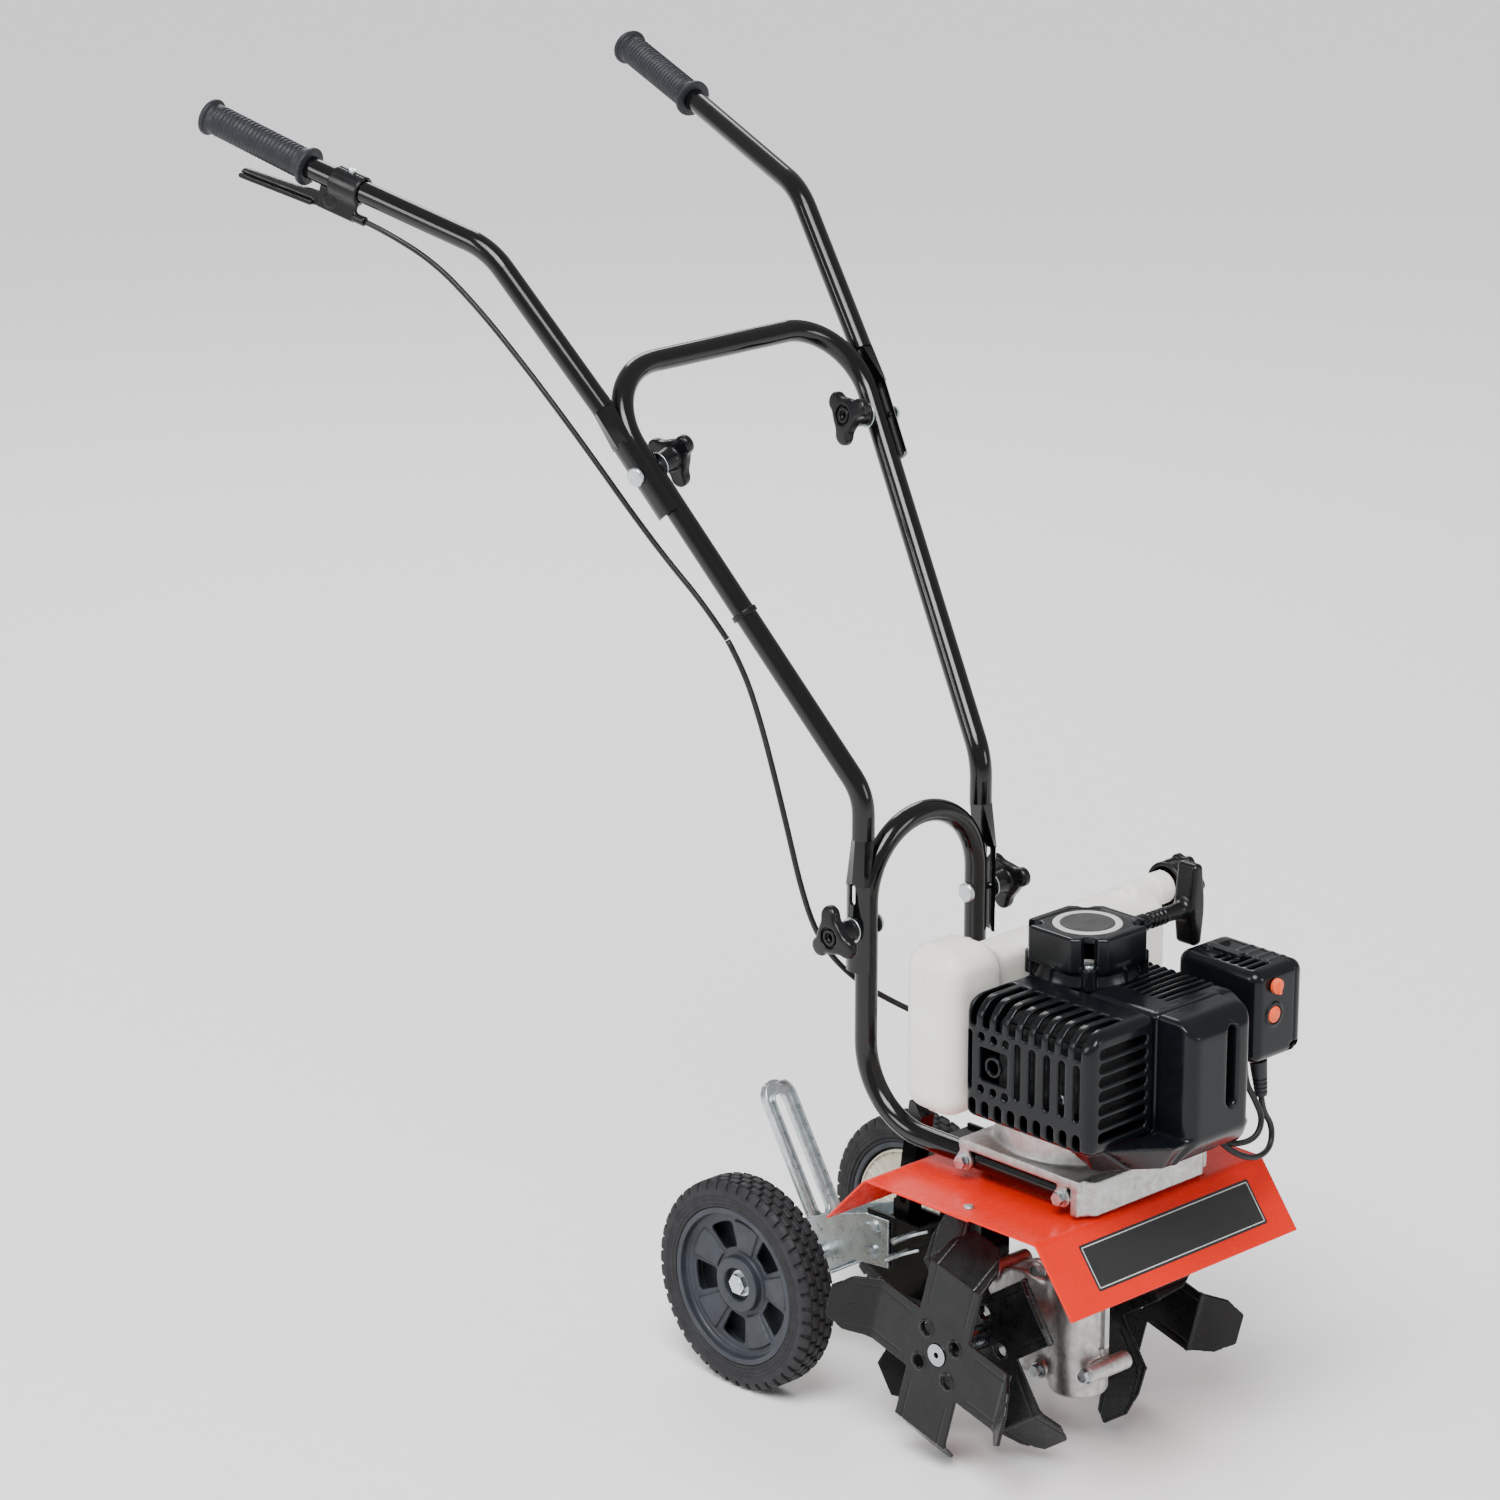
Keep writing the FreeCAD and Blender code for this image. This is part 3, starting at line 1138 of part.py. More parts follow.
def make_fuel_cap():
    """Ribbed screw cap on the tank's side filler."""
    body = rod(CAP_C + X * RUN, X, CAP_R, CAP_L)
    body = round_top(body, X, 3)
    grooves = []
    for step in range(CAP_FLUTES):
        angle = 2 * math.pi * step / CAP_FLUTES
        way = V(0, math.cos(angle), math.sin(angle))
        grooves.append(rod(CAP_C + way * (CAP_R + 1.2), X, 2.4, CAP_L * 0.8))
    return cut(body, grooves)


def make_plug_boot():
    """Rubber boot and connector that hang below the air box."""
    return Part.makeCone(7.5, 5.0, BOOT_L, BOOT_TOP, BOOT_WAY)


def lead_routes():
    """The ignition lead and the stop lead: loops below the air box, back into the shroud."""
    exit_point = BOOT_TOP + BOOT_WAY * BOOT_L
    ignition = [exit_point, exit_point + BOOT_WAY * 14, V(116, -152, 288), V(111, -156, 272),
                V(92, -160, 268), V(72, -158, 274), V(56, -150, 287), V(50, -138, 302)]
    stop = [V(84, -148, 351), V(82, -150, 336), V(90, -155, 318), V(95, -160, 301), V(84, -162, 287),
            V(66, -152, 284), V(52, -140, 292), V(46, -126, 306)]
    return ignition, stop


def make_engine_leads():
    tubes = []
    for route in lead_routes():
        radii = [corner_radius(route, index) for index in range(1, len(route) - 1)]
        tube = bent_tube(route, radii, LEAD_R)
        print("lead: length %.0f mm, radii %s" % (path_length(route, radii), [round(r) for r in radii]))
        tubes.append(tube)
    return Part.makeCompound(tubes)


def make_ignition_coil():
    """Coil block beside the flywheel."""
    return box(-14, 14, -88, -82.6, 399, 412)


# ---- list of nodes --------------------------------------------------------
def all_parts():
    parts = {
        "base_casting": make_base_casting(),
        "gear_case_right": make_case_half(-1),
        "gear_case_left": make_case_half(1),
        "hex_bolts": make_hex_bolts(),
        "arch_tube": make_arch_tube(),
        "front_guard": make_front_guard(),
        "rear_guard": make_rear_guard(),
        "pan_screws": make_guard_screws(),
        "stake_bracket": make_stake_bracket(),
        "bearings": make_bearings(),
        "worm_shaft": make_worm_shaft(),
        "clutch_drum": make_clutch_drum(),
        "worm_wheel": make_worm_wheel(),
        "tine_shaft": make_tine_shaft(),
        "tines_right": make_tines(-1),
        "tines_left": make_tines(1),
        "tyre_right": make_tyre(-1),
        "tyre_left": make_tyre(1),
        "wheel_hub_right": make_wheel_hub(-1),
        "wheel_hub_left": make_wheel_hub(1),
        "wheel_axle": make_wheel_axle(),
        "wheel_bracket": make_wheel_bracket(),
        "drag_stake": make_drag_stake(),
        "hitch_pins": make_hitch_pins(),
        "lower_handle": make_lower_handle(),
        "upper_handle_right": make_upper_handle(-1),
        "upper_handle_left": make_upper_handle(1),
        "grip_right": make_grip(-1),
        "grip_left": make_grip(1),
        "handle_bolts": make_handle_bolts(),
        "throttle_bracket": make_throttle_bracket(),
        "throttle_lever": make_throttle_lever(),
        "throttle_cable_upper": make_cable(upper_cable_points()),
        "throttle_cable_lower": make_cable(lower_cable_points()),
        "crankcase": make_crankcase(),
        "cylinder": make_cylinder(),
        "piston": make_piston(),
        "crankshaft": make_crankshaft(),
        "flywheel": make_flywheel(),
        "clutch_shoes": make_clutch_shoes(),
        "spark_plug": make_spark_plug(),
        "muffler": make_muffler(),
        "muffler_guard": make_muffler_guard(),
        "fan_shroud": make_fan_shroud(),
        "recoil_housing": make_recoil_housing(),
        "pull_handle": make_pull_handle(),
        "carburettor": make_carburettor(),
        "air_filter": make_air_filter(),
        "air_box": make_air_box(),
        "choke_knob": make_choke_knob(),
        "primer_button": make_primer_button(),
        "fuel_tank": make_fuel_tank(),
        "fuel_cap": make_fuel_cap(),
        "plug_boot": make_plug_boot(),
        "engine_leads": make_engine_leads(),
        "ignition_coil": make_ignition_coil(),
    }
    for name, seat, way, turn in knob_seats():
        parts[name] = knob(seat, way, turn)
    return parts


def main():
    os.makedirs("parts", exist_ok=True)
    for name, shape in all_parts().items():
        shape.translate(V(0, ORIGIN_Y, 0))
        if not shape.isValid():
            print("not valid:", name)
        shape.exportStep("parts/%s.step" % name)


main()
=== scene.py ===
import json
import math

import bpy
import numpy as np
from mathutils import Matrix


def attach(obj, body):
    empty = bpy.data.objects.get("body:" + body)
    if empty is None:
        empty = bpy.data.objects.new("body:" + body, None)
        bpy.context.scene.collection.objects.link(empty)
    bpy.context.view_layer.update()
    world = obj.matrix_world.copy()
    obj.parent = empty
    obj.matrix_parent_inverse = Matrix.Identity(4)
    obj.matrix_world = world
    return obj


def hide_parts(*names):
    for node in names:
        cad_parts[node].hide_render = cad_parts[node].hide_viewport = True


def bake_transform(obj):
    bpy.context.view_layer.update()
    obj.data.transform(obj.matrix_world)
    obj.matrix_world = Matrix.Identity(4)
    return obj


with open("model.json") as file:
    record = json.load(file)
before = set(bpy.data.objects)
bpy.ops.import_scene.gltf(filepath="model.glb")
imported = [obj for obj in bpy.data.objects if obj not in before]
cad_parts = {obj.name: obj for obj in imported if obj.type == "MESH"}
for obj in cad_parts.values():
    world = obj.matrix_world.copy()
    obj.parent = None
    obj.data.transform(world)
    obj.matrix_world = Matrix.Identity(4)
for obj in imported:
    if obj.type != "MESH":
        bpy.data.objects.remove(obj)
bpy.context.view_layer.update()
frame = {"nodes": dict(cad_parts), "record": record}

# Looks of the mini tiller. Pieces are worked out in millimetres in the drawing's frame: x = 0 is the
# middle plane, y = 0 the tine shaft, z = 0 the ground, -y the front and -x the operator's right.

import openvdb
from mathutils import Matrix, Vector

ORIGIN_Y = -283.0                 # the same shift as in the part's source
MM = 0.001

X, Y, Z = Vector((1, 0, 0)), Vector((0, 1, 0)), Vector((0, 0, 1))
SIDES = (("left", 1), ("right", -1))

# view and light
VIEW_FROM = (-2954.07, -2737.21, 1893.28)
VIEW_AHEAD = Vector((0.658727, 0.687342, -0.306007))
VIEW_LENS = 125.67
WORLD_LIGHT = 0.5
SUN_LIGHT, SUN_ANGLE = 2.8, 35.0
SUN_AHEAD = Vector((0.55, 0.35, -1.0))
# name, place and size in metres, and power in watts
LAMPS = (("key", (-1.6, -1.2, 3.2), 1.6, 70.0), ("side", (-3.0, 1.2, 1.8), 1.2, 40.0),
         ("front", (1.2, -3.2, 1.4), 1.0, 22.0), ("back", (1.6, 2.4, 2.6), 1.6, 45.0))
LAMP_TARGET = Vector((0, 0, 0.45))
FLOOR_HALF = 20.0                 # metres

# axes of the tines, the wheels and the crank
TINE_Z = 106.0
WHEEL_Y, WHEEL_Z = 237.8, 93.5
WHEEL_X, WHEEL_W = 125.4, 37.0    # outer face and width of a wheel
AXLE_GAP = 6.2                    # radius of its bore
TYRE_R, RIM_R = 93.3, 70.0
TREAD_ROWS = (7.5, 15, 22, 29.5)  # grooves between the rows of blocks, from the inner side
TREAD_BLOCKS, SPOKES, DISC_RIBS = 44, 5, 30
CRANK_Y = -49.0

# middle lines of the tubes
TUBE_R = 9.53
U_CORNER = Vector((149.0, 381.4, 869.3))
KNEE = Vector((69.6, 139.2, 546.0))
UPPER_KNEE = Vector((178.1, 470.1, 965.1))
GRIP_IN = Vector((219.0, 640.5, 1011.4))
GRIP_END = Vector((241.2, 756.7, 1044.9))
ARCH_X, ARCH_Y, FOLD_Z = 64.8, 138.2, 431.1
ARCH_TUBE_X = ARCH_X + TUBE_R
CRUSH_R, CRUSH_HALF = 16.0, 13.5  # round of a flattened tube under a knob, and half its width
KNOB_TIP, KNOB_LOBE = 18.2, 8.3    # where a knob's lobes are centred, and their radius
KNOB_SHARE = 0.775                # place of the upper knobs, and of the tie, along the lower handle's legs
TIE_SHARE = 0.43
GRIP_R, GRIP_PITCH = 13.0, 4.2    # radius and rib pitch of the grips
BLOCK_BACK = 34.0                 # from the grip's inner end to the throttle block

# engine: boxes are x, y and z limits
WALL = 3.0
GUARD = (-113.0, -36.0, -159.0, -20.0, 322.0, 426.0)
SHROUD = (-36.5, 76.0, -159.0, -14.0, 322.0, 425.0)
NOSE = (-35.5, 40.0, -196.0, -150.0, 302.0, 425.0)
AIR_BOX = (76.0, 136.0, -165.0, -77.0, 352.0, 432.0)
TANK = (-112.0, 153.0, -6.0, 54.0, 308.0, 450.0)
# pitches of the covers' slots, on the guard's side, over its edge, on its front, and on the shroud
SIDE_PITCH, WRAP_PITCH, FRONT_PITCH, LOUVRE_PITCH = 16, 14.2, 11.8, 8.3
RING_Y, RING_Z = -53, 372         # ring on the guard's side
NOSE_SLOT_X, NOSE_SLOT_LOW, NOSE_SLOT_HIGH = 13, 351, 409
NOSE_SEAM_Y = -158.0
STARTER_HALF = 40.5               # half width across the flats of the starter
BADGE_R = 28.5
INTAKE_Y, INTAKE_Z, INTAKE_R = -104.0, 364.0, 12.0
CONTROL_X, CHOKE_Z, PRIMER_Z = 98.0, 418.0, 393.0
BOOT_TOP = Vector((98, -150, 350.5))
BOOT_WAY = Vector((0.16, 0, -0.987)).normalized()
BOOT_L = 34.0
CAP_R = 20.6
RECOIL_FEET = ((-31, -80), (31, -80), (-31, -18), (31, -18))
FOOT_Z = 443.0
LID_Z = 466.5
CAP_C = Vector((170.0, 20.0, 438.5))
CAP_LOBES = 10
PULL_C = Vector((112.0, -58.0, 456.0))

# cords: their radii, in millimetres
CABLE_R, LEAD_R = 2.5, 2.6
# routes after the throttle block and the ignition boot, and from the tie and the air box
UPPER_ROUTE = ((-185, 533, 946), (-172, 494, 912), (-160, 455, 872), (-150, 417, 832), (-139, 383, 792),
               (-128, 352, 753), (-117, 320, 716), (-107, 288, 684), (-100, 268, 657))
LOWER_ROUTE = ((-99.9, 267.7, 656.5), (-95, 253, 632), (-96, 232, 592), (-98, 213, 549), (-99, 196, 505),
               (-97, 184, 463), (-90, 175, 426), (-74, 168, 396), (-50, 157, 370), (-24, 140, 350),
               (4, 118, 332), (34, 94, 316), (66, 72, 303), (92, 46, 297), (104, 14, 296),
               (103, -18, 297), (95, -50, 299), (84, -74, 303), (73, -90, 312), (68.5, -96.5, 328),
               (68.5, -96.5, 350))
IGNITION_ROUTE = ((116, -152, 288), (111, -156, 272), (92, -160, 268), (72, -158, 274), (56, -150, 287),
                  (50, -138, 302))
STOP_ROUTE = ((84, -148, 351), (82, -150, 336), (90, -155, 318), (95, -160, 301), (84, -162, 287),
              (66, -152, 284), (52, -140, 292), (46, -126, 306))

# deck, gear case and guards
BASE_X, BASE_FRONT, BASE_REAR, BASE_TOP = 78.5, -116.0, 17.0, 282.0
RAIL_BOLTS_Y = (10.8, -97.7)
RAIL_Z = 263.3
CASE_BOLTS = ((-26, 72), (-80, 84), (-80, 190), (34, 140), (-24, 162))
DRUM_R, COLUMN_R = 45, 25         # outer radii of the gear case
GUARD_X, GUARD_Z, GUARD_T = 136.6, 247.0, 1.5
GUARD_BEND = 6.0
GUARD_HOLE_X, GUARD_HOLE_Y = 119.7, -35.0
FLAP = Vector((0, -40.4, -52.9)).normalized()
FLAP_FACE = Vector((0, -FLAP.z, FLAP.y)) * -1
PLATE_W, PLATE_H, PLATE_T = 204, 40, 0.5

# tines and wheel carriage
TINE_T, TINE_FOLD, TINE_HALF, TINE_LEAN, TINE_REACH = 3.0, 76.0, 29.0, 15.0, 39.5
TINE_BEND = math.radians(45.0)
INNER_TURN = math.radians(41.0)
TINE_OUTER_X, TINE_INNER_X = 118.3, 66.0
HUB_HOLE, HUB_HOLE_RING = 6, 23.5 # the four holes about the middle of a star, and their ring
CHEEKS = ((153, 150), (182, 149), (236, 131), (262, 118), (250, 80), (226, 80), (196, 100),
          (182, 101), (153, 104))
CHEEK_HOLES = ((172.5, 137.8, 3.1), (173.5, 115.3, 3.3))
ARM_FOOT, ARM_TOP = Vector((0, 249, 113)), Vector((0, 319, 226))


def metres(point):
    """A point of the drawing, in the frame's metres."""
    return Vector((point[0] * MM, (point[1] + ORIGIN_Y) * MM, point[2] * MM))


def flip(point):
    """The mirror image of a point or a direction, on the operator's right."""
    return Vector((-point[0], point[1], point[2]))


def add_object(name, data):
    """A new object in the scene."""
    made = bpy.data.objects.new(name, data)
    bpy.context.collection.objects.link(made)
    return made


def aim(thing, ahead):
    """Turns a camera or a lamp to look along a direction."""
    thing.rotation_euler = ahead.to_track_quat("-Z", "Y").to_euler()


# ---- camera --------------------------------------------------------------
def make_camera():
    """The first view: from the front right of the machine, a little above it."""
    data = bpy.data.cameras.new("view")
    data.sensor_width = 36.0
    data.lens = VIEW_LENS
    data.clip_end = 100.0
    camera = add_object("view", data)
    camera.location = metres(VIEW_FROM)
    aim(camera, VIEW_AHEAD)
    bpy.context.scene.camera = camera


# ---- materials -----------------------------------------------------------
class Finish:
    """A node material: a principled shader whose colour, roughness and bump follow noise."""

    def __init__(self, name, roughness=0.5, metallic=0.0, specular=0.5, coat=0.0, coat_roughness=0.1):
        self.material = bpy.data.materials.new(name)
        self.material.use_nodes = True
        self.tree = self.material.node_tree
        self.shader = self.tree.nodes["Principled BSDF"]
        self.shader.inputs["Roughness"].default_value = roughness
        self.shader.inputs["Metallic"].default_value = metallic
        self.shader.inputs["Specular IOR Level"].default_value = specular
        self.shader.inputs["Coat Weight"].default_value = coat
        self.shader.inputs["Coat Roughness"].default_value = coat_roughness
        self.place = self.tree.nodes.new("ShaderNodeTexCoord").outputs["Object"]
        self.height = None

    def node(self, kind):
        """A new node of this material."""
        return self.tree.nodes.new(kind)

    def link(self, source, target):
        """Joins an output to an input."""
        self.tree.links.new(source, target)

    def noise(self, size_mm, detail=3.0, roughness=0.55, stretch=(1, 1, 1)):
        """Noise whose blobs are size_mm across, or longer along an axis with a small stretch."""
        scaled = self.node("ShaderNodeMapping")
        scaled.inputs["Scale"].default_value = stretch
        self.link(self.place, scaled.inputs["Vector"])
        texture = self.node("ShaderNodeTexNoise")
        texture.inputs["Scale"].default_value = 1000.0 / size_mm
        texture.inputs["Detail"].default_value = detail
        texture.inputs["Roughness"].default_value = roughness
        self.link(scaled.outputs["Vector"], texture.inputs["Vector"])
        return texture.outputs["Fac"]

    def ramp(self, source, *stops):
        """Colours, each with its place, along a value."""
        made = self.node("ShaderNodeValToRGB")
        elements = made.color_ramp.elements
        while len(elements) < len(stops):
            elements.new(0.5)
        for element, (place, colour) in zip(elements, stops):
            element.position = place
            element.color = (*colour, 1.0)
        self.link(source, made.inputs["Fac"])
        return made.outputs["Color"]

    def mix(self, share, first, second):
        """One colour over another, by a share from 0 to 1."""
        made = self.node("ShaderNodeMixRGB")
        self.link(share, made.inputs["Fac"])
        self.link(first, made.inputs["Color1"])
        self.link(second, made.inputs["Color2"])
        return made.outputs["Color"]

    def spread(self, source, low, high, start=0.3, end=0.7):
        """A value moved from the range start to end, to the range low to high."""
        made = self.node("ShaderNodeMapRange")
        for name, value in (("From Min", start), ("From Max", end), ("To Min", low), ("To Max", high)):
            made.inputs[name].default_value = value
        self.link(source, made.inputs["Value"])
        return made.outputs["Result"]

    def colour(self, source):
        """Takes the base colour from an output."""
        self.link(source, self.shader.inputs["Base Color"])

    def tint(self, size_mm, detail, colour, spread):
        """Takes the base colour from noise between a darker and a lighter shade."""
        dark, light = shades(colour, spread)
        self.colour(self.ramp(self.noise(size_mm, detail), (0.3, dark), (0.7, light)))

    def rough(self, source):
        """Takes the roughness from an output."""
        self.link(source, self.shader.inputs["Roughness"])

    def bump(self, source, depth_mm, strength=1.0):
        """Adds a relief of that depth, on top of the one before."""
        made = self.node("ShaderNodeBump")
        made.inputs["Distance"].default_value = depth_mm * MM
        made.inputs["Strength"].default_value = strength
        self.link(source, made.inputs["Height"])
        if self.height is not None:
            self.link(self.height, made.inputs["Normal"])
        self.height = made.outputs["Normal"]
        self.link(self.height, self.shader.inputs["Normal"])


def shades(colour, spread):
    """A darker and a lighter shade of a colour."""
    return tuple(c * (1 - spread) for c in colour), tuple(min(1.0, c * (1 + spread)) for c in colour)


def painted(name, colour, roughness, spread=0.12, peel=0.05, coat=0.6, specular=0.5):
    """Powder coat or enamel: a glossy film with a fine orange peel and faint scuffs."""
    finish = Finish(name, roughness, specular=specular, coat=coat, coat_roughness=0.08)
    finish.tint(22, 4, colour, spread)
    finish.rough(finish.spread(finish.noise(9, 5), roughness * 0.75, roughness * 1.35))
    finish.bump(finish.noise(1.6, 2), peel, 0.5)
    return finish.material


def moulded_plastic(name, colour, roughness, spread=0.2, grain=0.04, grain_mm=0.7, specular=0.4):
    """Moulded plastic with a fine grain, and patches that are a little glossier."""
    finish = Finish(name, roughness, specular=specular)
    finish.tint(30, 4, colour, spread)
    finish.rough(finish.spread(finish.noise(16, 4), roughness * 0.8, roughness * 1.25))
    finish.bump(finish.noise(grain_mm, 2), grain, 0.6)
    return finish.material


def rubber(name, colour, roughness=0.62, grain=0.06):
    """Matt rubber with dust in a fine grain."""
    finish = Finish(name, roughness, specular=0.35)
    dark, light = shades(colour, 0.3)
    base = finish.ramp(finish.noise(12, 5), (0.3, dark), (0.7, light))
    dust = finish.ramp(finish.noise(4, 6, 0.7), (0.55, (0, 0, 0)), (0.8, (0.12, 0.12, 0.12)))
    pale = finish.ramp(finish.noise(3, 2), (0.3, (0.13, 0.13, 0.13)), (0.7, (0.18, 0.18, 0.18)))
    finish.colour(finish.mix(dust, base, pale))
    finish.rough(finish.spread(finish.noise(8, 4), roughness * 0.85, min(1.0, roughness * 1.2)))
    finish.bump(finish.noise(0.9, 3), grain, 0.7)
    return finish.material


def cast_metal(name, colour=(0.50, 0.50, 0.49)):
    """Sand-cast aluminium: dull, pitted, with a coarse and a fine grain."""
    finish = Finish(name, 0.42, metallic=1.0)
    dark, light = shades(colour, 0.22)
    base = finish.ramp(finish.noise(7, 6, 0.65), (0.3, dark), (0.72, light))
    stain = finish.ramp(finish.noise(26, 5), (0.45, (0, 0, 0)), (0.75, (0.35, 0.35, 0.35)))
    brown = finish.ramp(finish.noise(5, 2), (0.3, (0.20, 0.19, 0.17)), (0.7, (0.30, 0.28, 0.26)))
    finish.colour(finish.mix(stain, base, brown))
    finish.rough(finish.spread(finish.noise(4, 5), 0.34, 0.58))
    finish.bump(finish.noise(3.2, 3), 0.25, 0.6)
    finish.bump(finish.noise(0.8, 2), 0.10, 0.8)
    return finish.material


def zinc(name, colour=(0.60, 0.61, 0.60), roughness=0.3):
    """Zinc-plated steel: pale, with a cloudy bloom and drawing lines."""
    finish = Finish(name, roughness, metallic=1.0)
    dark, light = shades(colour, 0.16)
    cool = (colour[0] * 0.9, colour[1] * 0.98, colour[2] * 1.04)
    base = finish.ramp(finish.noise(11, 5, 0.6), (0.25, dark), (0.5, cool), (0.75, light))
    finish.colour(base)
    finish.rough(finish.spread(finish.noise(6, 5), roughness * 0.7, roughness * 1.5))
    finish.bump(finish.noise(1.2, 2, stretch=(1, 1, 0.15)), 0.03, 0.6)
    return finish.material


def tank_plastic(name):
    """Translucent off-white blow-moulded plastic."""
    finish = Finish(name, 0.42, specular=0.4)
    base = finish.ramp(finish.noise(40, 3), (0.3, (0.80, 0.77, 0.70)), (0.7, (0.87, 0.85, 0.80)))
    finish.colour(base)
    finish.shader.inputs["Subsurface Weight"].default_value = 0.25
    finish.shader.inputs["Subsurface Radius"].default_value = (0.010, 0.008, 0.005)
    finish.rough(finish.spread(finish.noise(20, 3), 0.34, 0.5))
    finish.bump(finish.noise(2.5, 3), 0.06, 0.6)
    return finish.material


def foam(name):
    """Open-cell filter foam, with painted shade in its pores."""
    finish = Finish(name, 0.95, specular=0.1)
    cells = finish.noise(1.6, 3)
    # the colour is darker where the cells' relief is low: painted shade in the pores
    finish.colour(finish.ramp(cells, (0.35, (0.05, 0.05, 0.05)), (0.65, (0.24, 0.24, 0.23))))
    finish.bump(cells, 0.8)
    return finish.material


def make_materials():
    """All finishes by the record's slots, and the trim's own."""
    made = {}

    def put(maker, name, *values, **more):
        """Makes one finish under its name."""
        made[name] = maker(name, *values, **more)

    put(cast_metal, "cast_aluminium")
    put(zinc, "zinc_steel")
    put(zinc, "bearing_steel", (0.42, 0.42, 0.43), 0.24)
    put(painted, "black_tube", (0.003, 0.003, 0.0035), 0.12, coat=0.1, specular=0.35)
    put(painted, "red_paint", (0.72, 0.012, 0.002), 0.25, 0.03, 0.015, coat=0.05, specular=0.2)
    put(painted, "tine_black", (0.006, 0.0065, 0.007), 0.28, 0.3, 0.05, coat=0.05, specular=0.22)
    put(rubber, "tyre_rubber", (0.012, 0.012, 0.014))
    put(moulded_plastic, "hub_plastic", (0.022, 0.026, 0.034), 0.48)
    put(rubber, "grip_rubber", (0.012, 0.014, 0.018), 0.5)
    put(moulded_plastic, "cover_black", (0.004, 0.005, 0.0065), 0.22, grain=0.02, specular=0.24)
    put(moulded_plastic, "knob_black", (0.004, 0.004, 0.005), 0.28, grain=0.02, specular=0.3)
    put(zinc, "burnt_steel", (0.035, 0.034, 0.033), 0.55)
    put(rubber, "cable_black", (0.008, 0.008, 0.009), 0.4, 0.02)
    put(zinc, "piston_alloy", (0.60, 0.60, 0.60), 0.25)
    put(foam, "filter_foam")
    put(moulded_plastic, "orange_plastic", (0.85, 0.10, 0.025), 0.4, 0.08)
    put(tank_plastic, "tank_white")
    put(moulded_plastic, "disc_cream", (0.62, 0.58, 0.46), 0.5, 0.08)
    put(moulded_plastic, "label_dark", (0.014, 0.014, 0.015), 0.45, 0.06)
    put(moulded_plastic, "ring_pale", (0.50, 0.50, 0.50), 0.4, 0.06)
    return made


# ---- distance fields -----------------------------------------------------
class Clay:
    """A block of sample points in which a cast or moulded piece is shaped as a distance field."""

    def __init__(self, low, high, step):
        margin = 3 * step
        self.step = step
        self.low = [value - margin for value in low]
        axes = []
        for start, end in zip(self.low, high):
            axes.append(np.arange(start, end + margin, step, dtype=np.float32))
        self.x = axes[0][:, None, None]
        self.y = axes[1][None, :, None]
        self.z = axes[2][None, None, :]
        self.field = np.full([len(axis) for axis in axes], 1000.0, np.float32)

    def add(self, shape, soft=0.0):
        """Joins a shape on, with a fillet of about soft."""
        self.field = merge(self.field, shape, soft)

    def cut(self, shape, soft=0.0):
        """Takes a shape away."""
        self.field = -merge(-self.field, shape, soft)

    def keep(self, shape, soft=0.0):
        """Leaves only what lies inside a shape."""
        self.field = -merge(-self.field, -shape, soft)

    def local(self, origin, along, across):
        """Coordinates from origin: along a direction, across it, and along their cross product."""
        third = along.cross(across)
        dx, dy, dz = self.x - origin[0], self.y - origin[1], self.z - origin[2]
        return [dx * way[0] + dy * way[1] + dz * way[2] for way in (along, across, third)]


def fresh_clay(low, high, step):
    """An empty block, and its three coordinates."""
    clay = Clay(low, high, step)
    return clay, clay.x, clay.y, clay.z


def merge(first, second, soft):
    """The union of two shapes, with a fillet of about soft."""
    if soft <= 0:
        return np.minimum(first, second)
    share = np.clip(0.5 + 0.5 * (second - first) / soft, 0, 1)
    return second + (first - second) * share - soft * share * (1 - share)


def both(first, second):
    """What two shapes have in common."""
    return np.maximum(first, second)


def beyond(*gaps):
    """Distance from a shape whose separate gaps are positive outside it."""
    outside = sum(np.maximum(gap, 0) ** 2 for gap in gaps)
    inside = gaps[0]
    for gap in gaps[1:]:
        inside = np.maximum(inside, gap)
    return np.sqrt(outside) + np.minimum(inside, 0)


def span(value, low, high, radius=0.0):
    """Gap of a coordinate to the stretch from low to high, less a rounding."""
    return np.abs(value - (low + high) / 2) - (high - low) / 2 + radius


def block(x, y, z, limits, radius=0.0):
    """A box with rounded edges."""
    x0, x1, y0, y1, z0, z1 = limits
    return beyond(span(x, x0, x1, radius), span(y, y0, y1, radius), span(z, z0, z1, radius)) - radius


def far(u, v):
    """Distance from the axis where u and v are 0."""
    return np.sqrt(u * u + v * v)


def disc(u, v, w, radius, low, high, rounding=0.0):
    """A cylinder about the axis w, from low to high, with rounded rims."""
    return beyond(far(u, v) - radius + rounding, span(w, low, high, rounding)) - rounding


def repeat(angle, count, shift=0.0):
    """Turns from the middle between two of count equal sectors, from 0 to a half."""
    return np.abs((angle / (2 * math.pi) * count + shift) % 1.0 - 0.5)


def evenly(first, pitch, count):
    """Places at a pitch, from the first one."""
    return [first + step * pitch for step in range(count)]


def groove(u, v, start, end, radius):
    """A round-ended slot in the plane of u and v."""
    du, dv = end[0] - start[0], end[1] - start[1]
    length = max(du * du + dv * dv, 1e-9)
    share = np.clip(((u - start[0]) * du + (v - start[1]) * dv) / length, 0, 1)
    return far(u - start[0] - share * du, v - start[1] - share * dv) - radius


